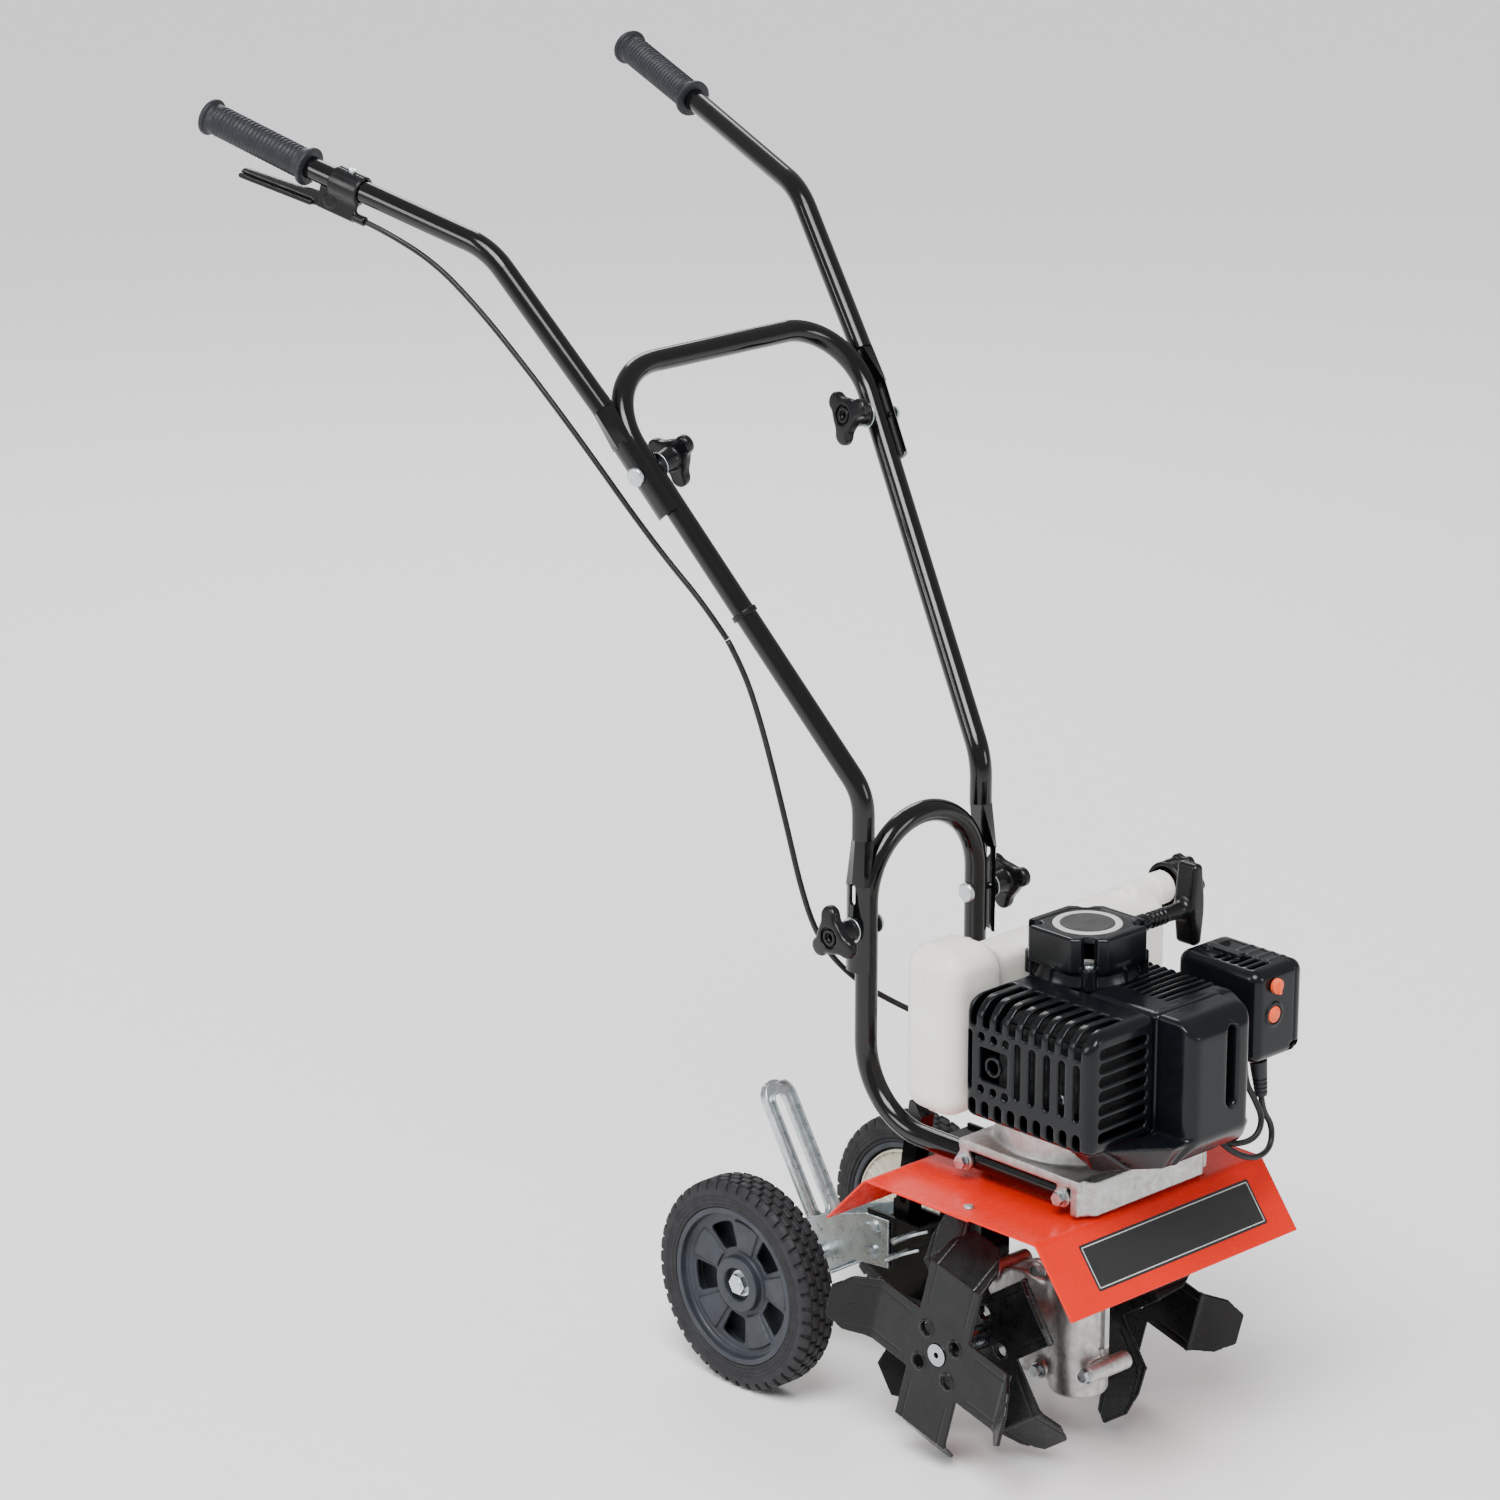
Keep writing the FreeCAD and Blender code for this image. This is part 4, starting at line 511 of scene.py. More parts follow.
def polygon(u, v, corners):
    """Distance from a polygon in the plane of u and v, negative inside it."""
    gap = None
    inside = False
    for (u0, v0), (u1, v1) in zip(corners, corners[1:] + corners[:1]):
        edge = groove(u, v, (u0, v0), (u1, v1), 0.0)
        gap = edge if gap is None else np.minimum(gap, edge)
        crosses = (v0 > v) != (v1 > v)
        reach = (u1 - u0) * (v - v0) / ((v1 - v0) or 1e-9) + u0
        inside = inside ^ (crosses & (u < reach))
    return np.where(inside, -gap, gap)


def ease(value, start, end):
    """A smooth step from 0 at start to 1 at end."""
    share = np.clip((value - start) / (end - start), 0, 1)
    return share * share * (3 - 2 * share)


def shrunk(limits, wall):
    """The limits of a box, set in by a wall on all sides."""
    x0, x1, y0, y1, z0, z1 = limits
    return (x0 + wall, x1 - wall, y0 + wall, y1 - wall, z0 + wall, z1 - wall)


# ---- meshes --------------------------------------------------------------
MATERIALS = {}


def add_piece(name, points, faces, slot, nodes, material=None):
    """A smooth piece in metres, with the finish of its slot or its own, and with the CAD nodes that it
    replaces hidden.
    """
    mesh = bpy.data.meshes.new(name)
    mesh.from_pydata(points, [], faces)
    mesh.shade_smooth()
    mesh.materials.append(MATERIALS[material or slot])
    piece = add_object(name, mesh)
    if nodes:
        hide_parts(*nodes)
    return piece


def surface(clay, adapt=0.015):
    """Points, in millimetres, and faces of a shaped block."""
    grid = openvdb.FloatGrid(3 * clay.step)
    grid.copyFromArray(np.clip(clay.field, -3 * clay.step, 3 * clay.step))
    points, triangles, quads = grid.convertToPolygons(isovalue=0, adaptivity=adapt)
    return points * clay.step + np.array(clay.low), triangles.tolist() + quads.tolist()


def plant(shape, name, slot, body, nodes=(), material=None, place=None):
    """Makes the piece of a surface, which place moves from its own frame to the drawing's."""
    points, faces = shape
    if place is not None:
        points = points @ np.array(place.to_3x3()).T + np.array(place.translation)
        if place.to_3x3().determinant() < 0:
            faces = [face[::-1] for face in faces]
    points = (points + np.array((0, ORIGIN_Y, 0))) * MM
    piece = add_piece(name, points.tolist(), faces, slot, nodes, material)
    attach(piece, body)
    weighted = piece.modifiers.new("even shading", "WEIGHTED_NORMAL")
    weighted.keep_sharp = True


def cast(clay, name, slot, body, nodes=(), material=None, place=None):
    """The surface of a shaped block as a piece."""
    plant(surface(clay), name, slot, body, nodes, material, place)


def stand(origin, way, side):
    """Places a frame whose z runs along way and whose x runs along side."""
    other = way.cross(side)
    place = Matrix((side, other, way)).transposed().to_4x4()
    place.translation = Vector(origin)
    return place


def on_side(side, x, y=0.0, z=0.0):
    """Places a left-hand frame at (x, y, z), or its mirror image for side -1."""
    return Matrix.Translation((side * x, y, z)) @ Matrix.Diagonal((side, 1, 1, 1))


def sweep(points, radius, sides=12):
    """Vertices and faces of a round tube along points, with closed ends."""
    count = len(points)
    vertices, faces = [], []
    side = None
    for index, point in enumerate(points):
        before = points[max(index - 1, 0)]
        after = points[min(index + 1, count - 1)]
        way = (after - before).normalized()
        if side is None:
            side = way.orthogonal()
        side = (side - way * side.dot(way)).normalized()
        other = way.cross(side)
        for step in range(sides):
            angle = 2 * math.pi * step / sides
            vertices.append(point + side * (radius * math.cos(angle)) + other * (radius * math.sin(angle)))
    for index in range(count - 1):
        for step in range(sides):
            after = (step + 1) % sides
            low, high = index * sides, (index + 1) * sides
            faces.append((low + step, low + after, high + after, high + step))
    faces.append(tuple(reversed(range(sides))))
    faces.append(tuple(range((count - 1) * sides, count * sides)))
    return vertices, faces


# ---- cords ---------------------------------------------------------------
def cord_line(name, route):
    """A smooth line along a route: a spline with the route's points as its control points."""
    curve = bpy.data.curves.new(name, "CURVE")
    curve.dimensions = "3D"
    curve.resolution_u = 12
    spline = curve.splines.new("NURBS")
    spline.points.add(len(route) - 1)
    for point, place in zip(spline.points, route):
        point.co = (*metres(place), 1.0)
    spline.order_u = 3
    spline.use_endpoint_u = True
    holder = bpy.data.objects.new(name, curve)
    line = bpy.data.meshes.new_from_object(holder)
    points = [vertex.co.copy() for vertex in line.vertices]
    bpy.data.objects.remove(holder)
    bpy.data.meshes.remove(line)
    return points


def make_cord(name, route, radius, body, other, nodes):
    """A cord as a mesh tube, which rides on one body, or stays fixed in the scene when it runs between two.
    """
    points = cord_line(name, route)
    vertices, faces = sweep(points, radius * MM)
    piece = add_piece(name, [tuple(vertex) for vertex in vertices], faces, "cable_black", nodes)
    if other:
        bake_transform(piece)
    else:
        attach(piece, body)


def throttle_frame():
    """Place and directions of the throttle block on the right handle, before its grip."""
    way = flip((GRIP_IN - UPPER_KNEE).normalized())
    place = flip(GRIP_IN) - way * BLOCK_BACK
    down = (Vector((0, 0, -1)) + way * way.z).normalized()
    return place, way, down


def make_cords():
    """The throttle cable in two lengths that meet at its tie, and the two leads below the air box."""
    place, way, down = throttle_frame()
    side = way.cross(down).normalized()
    start = place - way * 26 + down * 22 + side * 5
    upper = (start, start - way * 18, *UPPER_ROUTE)
    leave = BOOT_TOP + BOOT_WAY * BOOT_L
    ignition = (leave, leave + BOOT_WAY * 14, *IGNITION_ROUTE)
    make_cord("throttle_cord_upper", upper, CABLE_R, "upper_handle_right", "lower_handle",
              ["throttle_cable_upper"])
    make_cord("throttle_cord_lower", LOWER_ROUTE, CABLE_R, "lower_handle", "chassis",
              ["throttle_cable_lower"])
    make_cord("ignition_lead", ignition, LEAD_R, "chassis", None, ["engine_leads"])
    make_cord("stop_lead", STOP_ROUTE, LEAD_R, "chassis", None, ["engine_leads"])


# ---- engine covers -------------------------------------------------------
def make_muffler_cover():
    """Slotted cover over the muffler: slots that wrap over its top edge, a grid of slots on each face."""
    x0, x1, y0, y1, z0, z1 = GUARD
    clay, x, y, z = fresh_clay((x0, y0, z0), (x1, y1, z1), 0.85)
    chamfer = ((x0 + 13 - x) + (z - z1 + 13)) / math.sqrt(2) - 9.5
    clay.add(block(x, y, z, GUARD, 9.0))
    clay.keep(chamfer, 5.0)
    inner = -merge(-block(x, y, z, shrunk(GUARD, WALL), 6.0), -(chamfer + WALL), 4.0)
    clay.cut(both(inner, x - x1 + 4.0))
    # tall slots of the side, and one behind the recess
    side = x - (x0 + 8)
    for row in evenly(-79, -SIDE_PITCH, 5):
        clay.cut(both(groove(y, z, (row, 354), (row, 395), 3.3), side), 1.0)
    clay.cut(both(groove(y, z, (-26.5, 350), (-26.5, 395), 3.0), side), 1.0)
    # slots that wrap over the top edge, and short ones near the lower edge
    for row in evenly(-30, -WRAP_PITCH, 9):
        wrap = beyond(np.abs(y - row) - 2.6, x - (x0 + 46), 404.0 - z) - 1.0
        clay.cut(wrap, 1.2)
        clay.cut(both(groove(y, z, (row, 329), (row, 336), 3.9), side), 0.8)
    # slots across the front, one above the other
    for level in evenly(338, FRONT_PITCH, 7):
        clay.cut(both(groove(x, z, (-99, level), (-51, level), 3.7), y - (y0 + 8)), 1.0)
    # round holes above and below the recess, and the recess with its raised ring
    for row in (-39.5, -53, -66):
        for level in (350, 395):
            clay.cut(both(groove(y, z, (row, level), (row, level), 3.4), side), 0.8)
    recess = beyond(span(y, -68, -38, 2), span(z, 358, 386, 2), x - (x0 + 1.4)) - 2
    clay.cut(recess, 0.6)
    ring = far(y - RING_Y, z - RING_Z)
    clay.add(beyond(np.abs(ring - 7.4) - 1.0, np.abs(x - x0 - 1.2) - 1.6) - 0.3, 0.4)
    clay.cut(both(ring - 4.0, side), 0.6)
    cast(clay, "muffler_cover", "cover_black", "chassis", ["muffler_guard"])


def make_skirt(x, y, z):
    """The shroud's lower skirt: a faceted wedge below the muffler cover."""
    plan = polygon(x, y, ((-106, -150), (-74, -172), (-50, -192), (36, -192), (36, -126), (-106, -126)))
    taper = 0.75 * (324 - z)
    return beyond(0.8 * (plan + taper) + 1.5, span(z, 301, 326, 1.5)) - 1.5


def nose_shape(x, y, z, inset):
    """The shroud's nose with its facets, set in by a wall's thickness."""
    x0, x1, y0, _, z0, z1 = NOSE
    shape = block(x, y, z, shrunk(NOSE, inset), 5.0)
    chin = (-(y - y0 - 14) * 0.78 - (z - z0 - 3) * 0.62) + inset
    brow = (-(y - y0 - 16) * 0.62 + (z - z1 + 16) * 0.78) - 13 + inset
    left = (-(x - x0 - 9) * 0.7 - (y - y0 - 9) * 0.7) - 8 + inset
    right = ((x - x1 + 12) * 0.7 - (y - y0 - 12) * 0.7) - 11 + inset
    for plane in (chin, brow, left, right):
        shape = -merge(-shape, -plane, 3.0)
    return shape


def make_shroud_cover():
    """Engine cover: louvred top, smooth shoulder, and the faceted nose with its long slot."""
    x0, x1, y0, y1, _, z1 = SHROUD
    clay, x, y, z = fresh_clay((-105, -196, 300), (x1, y1, z1), 1.0)
    right_fall = ((x - x1 + 22) + (z - z1 + 9)) / math.sqrt(2) - 6.0
    main = -merge(-block(x, y, z, SHROUD, 7.0), -right_fall, 5.0)
    nose = nose_shape(x, y, z, 0.0)
    clay.add(main)
    clay.add(nose, 2.5)
    inner = (x0 + WALL, x1 - WALL, y0 + WALL, y1 + 20, 280, z1 - WALL)
    clay.cut(both(block(x, y, z, inner, 4.0), right_fall + WALL))
    clay.cut(nose_shape(x, y, z, WALL))
    clay.cut(block(x, y, z, (NOSE[0] + WALL, NOSE[1] - WALL, -184, -140, 280, z1 - 12), 2.0))
    # the nose's long slot and its raised border
    opening = groove(x, z, (NOSE_SLOT_X, NOSE_SLOT_LOW), (NOSE_SLOT_X, NOSE_SLOT_HIGH), 4.8)
    clay.cut(both(opening - 1.6 - 0.5 * np.minimum(-(y + 196), 0), y + 188), 2.0)
    clay.add(beyond(np.abs(opening - 1.6) - 1.4, span(y, -193, -180)), 1.0)
    clay.cut(both(opening, y + 172), 1.0)
    clay.add(make_skirt(x, y, z), 4.0)
    # louvres: a tray on the top, with ribs and the slots between them
    tray = beyond(span(x, -6, 68, 3), span(y, -142, -64, 3), z1 - 2.2 - z) - 3
    clay.cut(tray, 0.8)
    for row in evenly(-137, LOUVRE_PITCH, 9):
        rib = beyond(span(x, -7, 70), np.abs(y - row) - 1.7, span(z, z1 - 9, z1 - 0.6)) - 0.6
        clay.add(both(rib, right_fall + 0.6), 0.8)
    for row in evenly(-132.8, LOUVRE_PITCH, 8):
        clay.cut(beyond(span(x, -2, 60, 1), np.abs(y - row) - 1.4, 400 - z) - 1)
    # openings for the crank and the intake, and the seam behind the nose
    clay.cut(disc(x, y - CRANK_Y, z, 33, 400, 440))
    clay.cut(both(far(y - INTAKE_Y, z - INTAKE_Z) - INTAKE_R, 55 - x))
    seam = np.abs(y - NOSE_SEAM_Y) - 0.5
    clay.cut(both(seam, -nose - 1.0), 0.4)
    cast(clay, "engine_cover", "cover_black", "chassis", ["fan_shroud"])


def make_starter():
    """Starter housing: eight-sided cap with screw channels at its corners, on a flared skirt."""
    clay = Clay((-48, -97, 424), (60, -1, LID_Z), 0.7)
    x, y, z = clay.x, clay.y - CRANK_Y, clay.z
    corner = np.where(x * y < 0, 47.4, 42.0)
    flat = both(np.abs(x), np.abs(y)) - STARTER_HALF
    flat = both(flat, (np.abs(x) + np.abs(y)) / math.sqrt(2) - corner)
    cap = beyond(flat + 3.0, span(z, 436, LID_Z, 3.0)) - 3.0
    clay.add(cap)
    clay.cut(beyond(flat + 8.5, LID_Z - 0.7 - z, z - 500), 0.4)
    skirt = far(x, y) - STARTER_HALF - 3.2 * np.clip((440 - z) / 14, 0, 1) ** 2
    clay.add(both(skirt, span(z, 424.3, 440)), 3.0)
    # feet over the screws, ribs of the skirt, and the snout of the cord
    for fx, fy in RECOIL_FEET:
        post = far(x - fx, y - fy + CRANK_Y)
        clay.add(both(post - 6.4, span(z, 424.3, FOOT_Z)), 1.5)
        clay.cut(both(post - 6.9, FOOT_Z - z), 1.0)
    for step in range(8):
        angle = math.radians(45 * step)
        along = x * math.cos(angle) + y * math.sin(angle)
        across = -x * math.sin(angle) + y * math.cos(angle)
        rib = beyond(np.abs(across) - 1.2, np.abs(along - 41.5) - 2.4, span(z, 426, 438))
        clay.add(rib, 1.2)
    out_y, out_z = PULL_C[1] - CRANK_Y, PULL_C[2] - 2
    snout = disc(y - out_y, z - out_z, x, 7.6, 36, 59.5, 1.6)
    clay.add(snout, 2.0)
    clay.cut(disc(y - out_y, z - out_z, x, 2.6, 30, 70))
    clay.cut(disc(x, y, z, 38, 400, 461, 2.0))
    cast(clay, "starter_housing", "cover_black", "chassis", ["recoil_housing"])


def make_starter_disc():
    """Blank badge on the starter: a pale ring about a dark disc."""
    clay = Clay((-33, -33 + CRANK_Y, 464), (33, 33 + CRANK_Y, 467), 0.5)
    x, y, z = clay.x, clay.y - CRANK_Y, clay.z
    clay.add(disc(x, y, z, BADGE_R, 464.6, 466.5, 0.5))
    clay.cut(disc(x, y, z, 22.8, 466.0, 470))
    cast(clay, "starter_ring", "cover_black", "chassis", material="ring_pale")
    clay = Clay((-24, -24 + CRANK_Y, 464), (24, 24 + CRANK_Y, 467), 0.5)
    clay.add(disc(clay.x, clay.y - CRANK_Y, clay.z, 22.6, 464.6, 466.6, 0.5))
    cast(clay, "starter_badge", "cover_black", "chassis", material="label_dark")


def make_air_cleaner():
    """Air cleaner box: ribbed lid with a latch, and two openings for the orange controls."""
    clay, x, y, z = fresh_clay((76, -167, 352), (138, -77, 436), 0.8)
    clay.add(block(x, y, z, AIR_BOX, 10.0))
    clay.cut(block(x, y, z, shrunk(AIR_BOX, WALL), 7.0))
    joint = both(np.abs(x - 124.0) - 0.7, -block(x, y, z, shrunk(AIR_BOX, 1.2), 6.0))
    clay.cut(joint, 0.5)
    for column in evenly(-150, 9, 5):
        clay.cut(beyond(span(x, 84, 106, 1), np.abs(y - column) - 1.6, 429.5 - z) - 1, 0.6)
    for column in evenly(-152, 11, 4):
        clay.add(beyond(span(x, 110, 128), np.abs(y - column - 4) - 0.8, span(z, 428, 431.6)) - 0.7, 1.5)
    clay.add(beyond(span(x, 96, 102), span(y, -128, -94), span(z, 430, 434.0)) - 1.4, 1.5)
    clay.add(beyond(span(x, 92, 118), span(y, -98, -90), span(z, 428, 433.5)) - 1.4, 1.5)
    clay.add(disc(x - CONTROL_X, z - PRIMER_Z, y, 10.6, -166.4, -160, 0.8), 0.6)
    clay.cut(disc(x - CONTROL_X, z - PRIMER_Z, y, 7.6, -175, -158))
    clay.cut(disc(x - CONTROL_X, z - CHOKE_Z, y, 3.4, -175, -158))
    clay.cut(block(x, y, z, (120, 131, -170, -160, 355, 363), 1.0), 0.6)
    clay.cut(disc(y - INTAKE_Y, z - INTAKE_Z, x, INTAKE_R, 60, 84))
    cast(clay, "air_cleaner", "cover_black", "chassis", ["air_box"])


def make_controls():
    """The orange choke lever and primer bulb, as soft moulded shapes."""
    clay, x, y, z = fresh_clay((90, -174, 407), (106, -156, 426), 0.5)
    clay.add(disc(x - CONTROL_X, z - CHOKE_Z, y, 3.0, -167, -158.7, 0.4))
    clay.add(disc(x - CONTROL_X, z - CHOKE_Z, y, 6.4, -170.0, -165.6, 1.0))
    clay.add(block(x, y, z, (96.2, 99.8, -172.5, -165.6, 411.5, 424.0), 1.2), 1.0)
    cast(clay, "choke_lever", "orange_plastic", "choke_knob", ["choke_knob"])
    clay, x, y, z = fresh_clay((90, -171, 385), (106, -162, 401), 0.5)
    clay.add(disc(x - CONTROL_X, z - PRIMER_Z, y, 7.0, -166.5, -163.1, 0.5))
    dome = np.sqrt((x - CONTROL_X) ** 2 + (z - PRIMER_Z) ** 2 + ((y + 163.5) * 1.15) ** 2) - 6.6
    clay.add(both(dome, y + 163.2), 0.8)
    cast(clay, "primer_bulb", "orange_plastic", "primer_button", ["primer_button"])


def make_tank():
    """Blow-moulded tank: pillow shaped, with a low saddle, a parting seam and a side filler neck."""
    clay, x, y, z = fresh_clay((-113, -8, 306), (171, 56, 460), 1.2)
    dip = 15.0 * ease(x, -66, -40) - 7.0 * ease(x, 50, 92)
    lifted = z + dip * np.clip((z - 350) / 80, 0, 1)
    clay.add(block(x, y, lifted, TANK, 19.0))
    clay.cut(block(x, y, z, (-52, 52, -40, 3, 388, 480), 6.0), 8.0)
    clay.cut(disc(x, y - CRANK_Y, z, 76.0, 290, 328, 4.0), 6.0)
    clay.add(disc(y - CAP_C[1], z - CAP_C[2], x, 12.8, 122, 158, 4.0), 7.0)
    clay.add(disc(y - CAP_C[1], z - CAP_C[2], x, 14.0, 152, CAP_C[0] - 0.3, 1.0), 3.0)
    seam = both(np.abs(y - 24) - 0.7, clay.field - 1.0)
    clay.add(seam, 0.8)
    for level in (340.0, 376.0):
        clay.cut(beyond(span(x, -96, -60, 3), span(z, level, level + 18, 3), 53.2 - y) - 3, 2.0)
    cast(clay, "tank", "tank_white", "chassis", ["fuel_tank"])


def make_cap():
    """Screw cap with pockets for the fingers, and a lobed rim at its outer end."""
    start = CAP_C[0]
    clay = Clay((start, -4, 414), (start + 28, 44, 463), 0.7)
    x, y, z = clay.x, clay.y - CAP_C[1], clay.z - CAP_C[2]
    angle = np.arctan2(z, y)
    radius = far(y, z)
    clay.add(disc(y, z, x, CAP_R, start + 0.4, start + 22, 1.5))
    pocket = np.abs((angle * CAP_LOBES / (2 * math.pi)) % 1.0 - 0.5) * 2 * math.pi * CAP_R / CAP_LOBES
    clay.cut(beyond(pocket - 3.4, 19.6 - radius, span(x, start + 4, start + 19)) - 0.8, 0.6)
    lobes = 21.8 + 1.1 * np.cos(CAP_LOBES * angle)
    clay.add(beyond(radius - lobes + 1.2, span(x, start + 20, start + 27, 1.2)) - 1.2, 1.0)
    clay.cut(disc(y, z, x, 16.6, start, start + 18))
    clay.cut(disc(y, z, x, 14.0, start + 25.6, start + 30), 0.5)
    cast(clay, "filler_cap", "knob_black", "fuel_cap", ["fuel_cap"])


def make_pull_grip():
    """T-shaped starter grip with a waist, and its stem."""
    clay = Clay((22, -70, 421), (123, -46, 494), 0.7)
    x, y, z = clay.x, clay.y - PULL_C[1], clay.z - PULL_C[2]
    swell = 1.6 * np.cos(z / 12.0)
    bar = beyond(np.abs(x - PULL_C[0] - 1.5) - 2.4 - swell, np.abs(y) - 6.6, np.abs(z - 1.5) - 31.0) - 4.4
    clay.add(bar)
    tilt = x - PULL_C[0] + 12
    clay.add(beyond(far(y, z + 2) - 5.6 - 0.04 * tilt, span(x, 62, 108)) - 1.4, 7.0)
    for step in range(4):
        ring = beyond(far(y, z + 2) - 6.6, np.abs(x - 66 - 5 * step) - 0.7)
        clay.add(ring - 0.5, 0.8)
    clay.add(disc(y, z + 2, x, 2.0, 24, 70, 0.5))
    cast(clay, "starter_grip", "knob_black", "pull_handle", ["pull_handle"])


def make_boot():
    """Ignition boot: an elbow at the box, ribs, and a tapering sleeve."""
    clay = Clay((88, -160, 314), (112, -140, 351), 0.5)
    along, across, third = clay.local(BOOT_TOP, BOOT_WAY, Y)
    radius = far(across, third)
    clay.add(beyond(radius - 6.8 + 0.07 * along, span(along, 0.5, 33.6, 0.8)) - 0.8)
    for step in range(4):
        depth = np.abs(radius - 7.0 + 0.07 * (18 + 4 * step)) - 0.5
        clay.cut(beyond(depth, np.abs(along - 17 - 4 * step) - 0.5), 0.6)
    cast(clay, "ignition_boot", "grip_rubber", "chassis", ["plug_boot"])


# ---- deck, gear case and guards ------------------------------------------
def make_deck():
    """Cast deck: a plate over the rails, lugs for the rail bolts, the clutch bell and its nose."""
    clay = Clay((-79, -126, 248), (79, 30, 323), 1.0)
    x, y, z = np.abs(clay.x), clay.y, clay.z
    clay.add(block(x, y, z, (-BASE_X, BASE_X, BASE_FRONT, BASE_REAR, BASE_TOP - 8.6, BASE_TOP), 1.6))
    clay.add(block(x, y, z, (51.5, 55.2, BASE_FRONT, BASE_REAR, 248.4, BASE_TOP - 2), 1.2), 2.0)
    clay.add(block(x, y, z, (55, BASE_X, BASE_FRONT, BASE_FRONT + 9, 250, BASE_TOP - 1), 2.0), 2.5)
    for row in RAIL_BOLTS_Y:
        lug = disc(y - row, z - RAIL_Z, x, 8.5, ARCH_TUBE_X + 0.1, BASE_X, 0.8)
        clay.add(lug)
        lug = (ARCH_TUBE_X + 0.1, BASE_X, row - 5, row + 5, RAIL_Z, BASE_TOP - 2)
        clay.add(block(x, y, z, lug, 0.8), 1.5)
    for row in (BASE_FRONT + 2, BASE_REAR - 2):
        clay.add(block(x, y, z, (-52, 52, row - 2, row + 2, 248.4, BASE_TOP - 1), 0.8), 2.0)
    radius = far(clay.x, y - CRANK_Y)
    cone = radius - 70.5 - 2.5 * np.clip((z - BASE_TOP) / 40, 0, 1)
    clay.add(beyond(cone, span(z, BASE_TOP - 3, 321.5, 1)) - 1, 5.0)
    clay.add(both(radius - 34, span(z, 248.6, BASE_TOP)), 4.0)
    front = beyond(x - 62 - 0.9 * (y + 124), span(y, -124, -112.6, 2), span(z, 250, BASE_TOP - 1.5, 2)) - 2
    clay.add(both(front, x - BASE_X), 3.0)
    clay.cut(both(radius - 67, span(z, BASE_TOP - 2, 330)), 1.0)
    clay.cut(both(radius - 13.1, span(z, 240, 300)))
    clay.cut(both(far(x - ARCH_X, z - RAIL_Z) - TUBE_R - 0.1, -112.4 - y))
    cast(clay, "deck", "cast_aluminium", "chassis", ["base_casting"])


def make_gear_case():
    """Worm gear case: column, drum, bosses and ears, with a parting line on the middle plane."""
    clay, x, y, z = fresh_clay((-34, -92, 55), (34, 48, 246), 0.9)
    column = disc(x, y - CRANK_Y, z, COLUMN_R, 55, 246, 5)
    clay.add(column)
    clay.add(disc(y, z - TINE_Z, x, DRUM_R, -17, 17, 3), 6.0)
    clay.add(block(x, y, z, (-17, 17, CRANK_Y, 0, 64, 150), 4), 6.0)
    clay.add(disc(y, z - TINE_Z, x, 19, -34, 34, 1.2), 4.0)
    clay.add(disc(x, y - CRANK_Y, z, 33, 234, 246, 1.5), 5.0)
    for row, level in CASE_BOLTS:
        clay.add(disc(y - row, z - level, x, 8, -24, 24, 1.2), 4.0)
    clay.add(block(x, y, z, (-2.5, 2.5, CRANK_Y - 32, CRANK_Y, 100, 240), 1.0), 3.0)
    for level in (176, 206):
        clay.add(disc(x, y - CRANK_Y, z, 27, level, level + 3, 0.8), 2.5)
    clay.cut(both(np.abs(x) - 0.45, -clay.field - 1.0), 0.4)
    clay.cut(disc(y, z - TINE_Z, x, 38.8, -8.5, 8.5))
    clay.cut(disc(x, y - CRANK_Y, z, 13.1, 64, 300))
    clay.cut(disc(y, z - TINE_Z, x, 15.0, -40, 40))
    cast(clay, "gear_case", "cast_aluminium", "chassis", ["gear_case_right", "gear_case_left"])


def bent_outline(corners, radius, steps=6):
    """(y, z) points along corners, whose inner corners are rounded to that radius."""
    points = [Vector(corners[0])]
    for before, corner, after in zip(corners, corners[1:], corners[2:]):
        corner = Vector(corner)
        back = (Vector(before) - corner).normalized()
        ahead = (Vector(after) - corner).normalized()
        half = back.angle(ahead) / 2
        reach = radius / math.tan(half)
        centre = corner + (back + ahead).normalized() * (radius / math.sin(half))
        first = corner + back * reach - centre
        last = corner + ahead * reach - centre
        for step in range(steps + 1):
            ray = first.lerp(last, step / steps).normalized() * radius
            points.append(centre + ray)
    points.append(Vector(corners[-1]))
    return points


def make_guard(name, corners, cuts):
    """A folded sheet with a rolled fold and eased edges, less the cuts (centre y, half width, half depth)."""
    line = bent_outline(corners, GUARD_BEND)
    low = [min(p[axis] for p in line) for axis in (0, 1)]
    high = [max(p[axis] for p in line) for axis in (0, 1)]
    clay, x, y, z = fresh_clay((-GUARD_X, low[0], low[1] - 2), (GUARD_X, high[0], high[1] + 1), 0.8)
    path = None
    for start, end in zip(line, line[1:]):
        piece = groove(y, z + GUARD_T / 2, start, end, GUARD_T / 2 + 0.05)
        path = piece if path is None else np.minimum(path, piece)
    sheet = beyond(path + 0.2, np.abs(x) - GUARD_X + 0.6) - 0.4
    clay.add(sheet)
    clay.cut(both(far(x, y - CRANK_Y) - 37.5, 200 - z))
    for centre_y, half_x, half_y in cuts:
        clay.cut(beyond(np.abs(x) - half_x + 3, np.abs(y - centre_y) - half_y + 3, 150 - z) - 3)
    for centre_x in (-GUARD_HOLE_X, GUARD_HOLE_X):
        clay.cut(far(x - centre_x, y - GUARD_HOLE_Y) - 2.4)
    cast(clay, name, "red_paint", "chassis", [name])


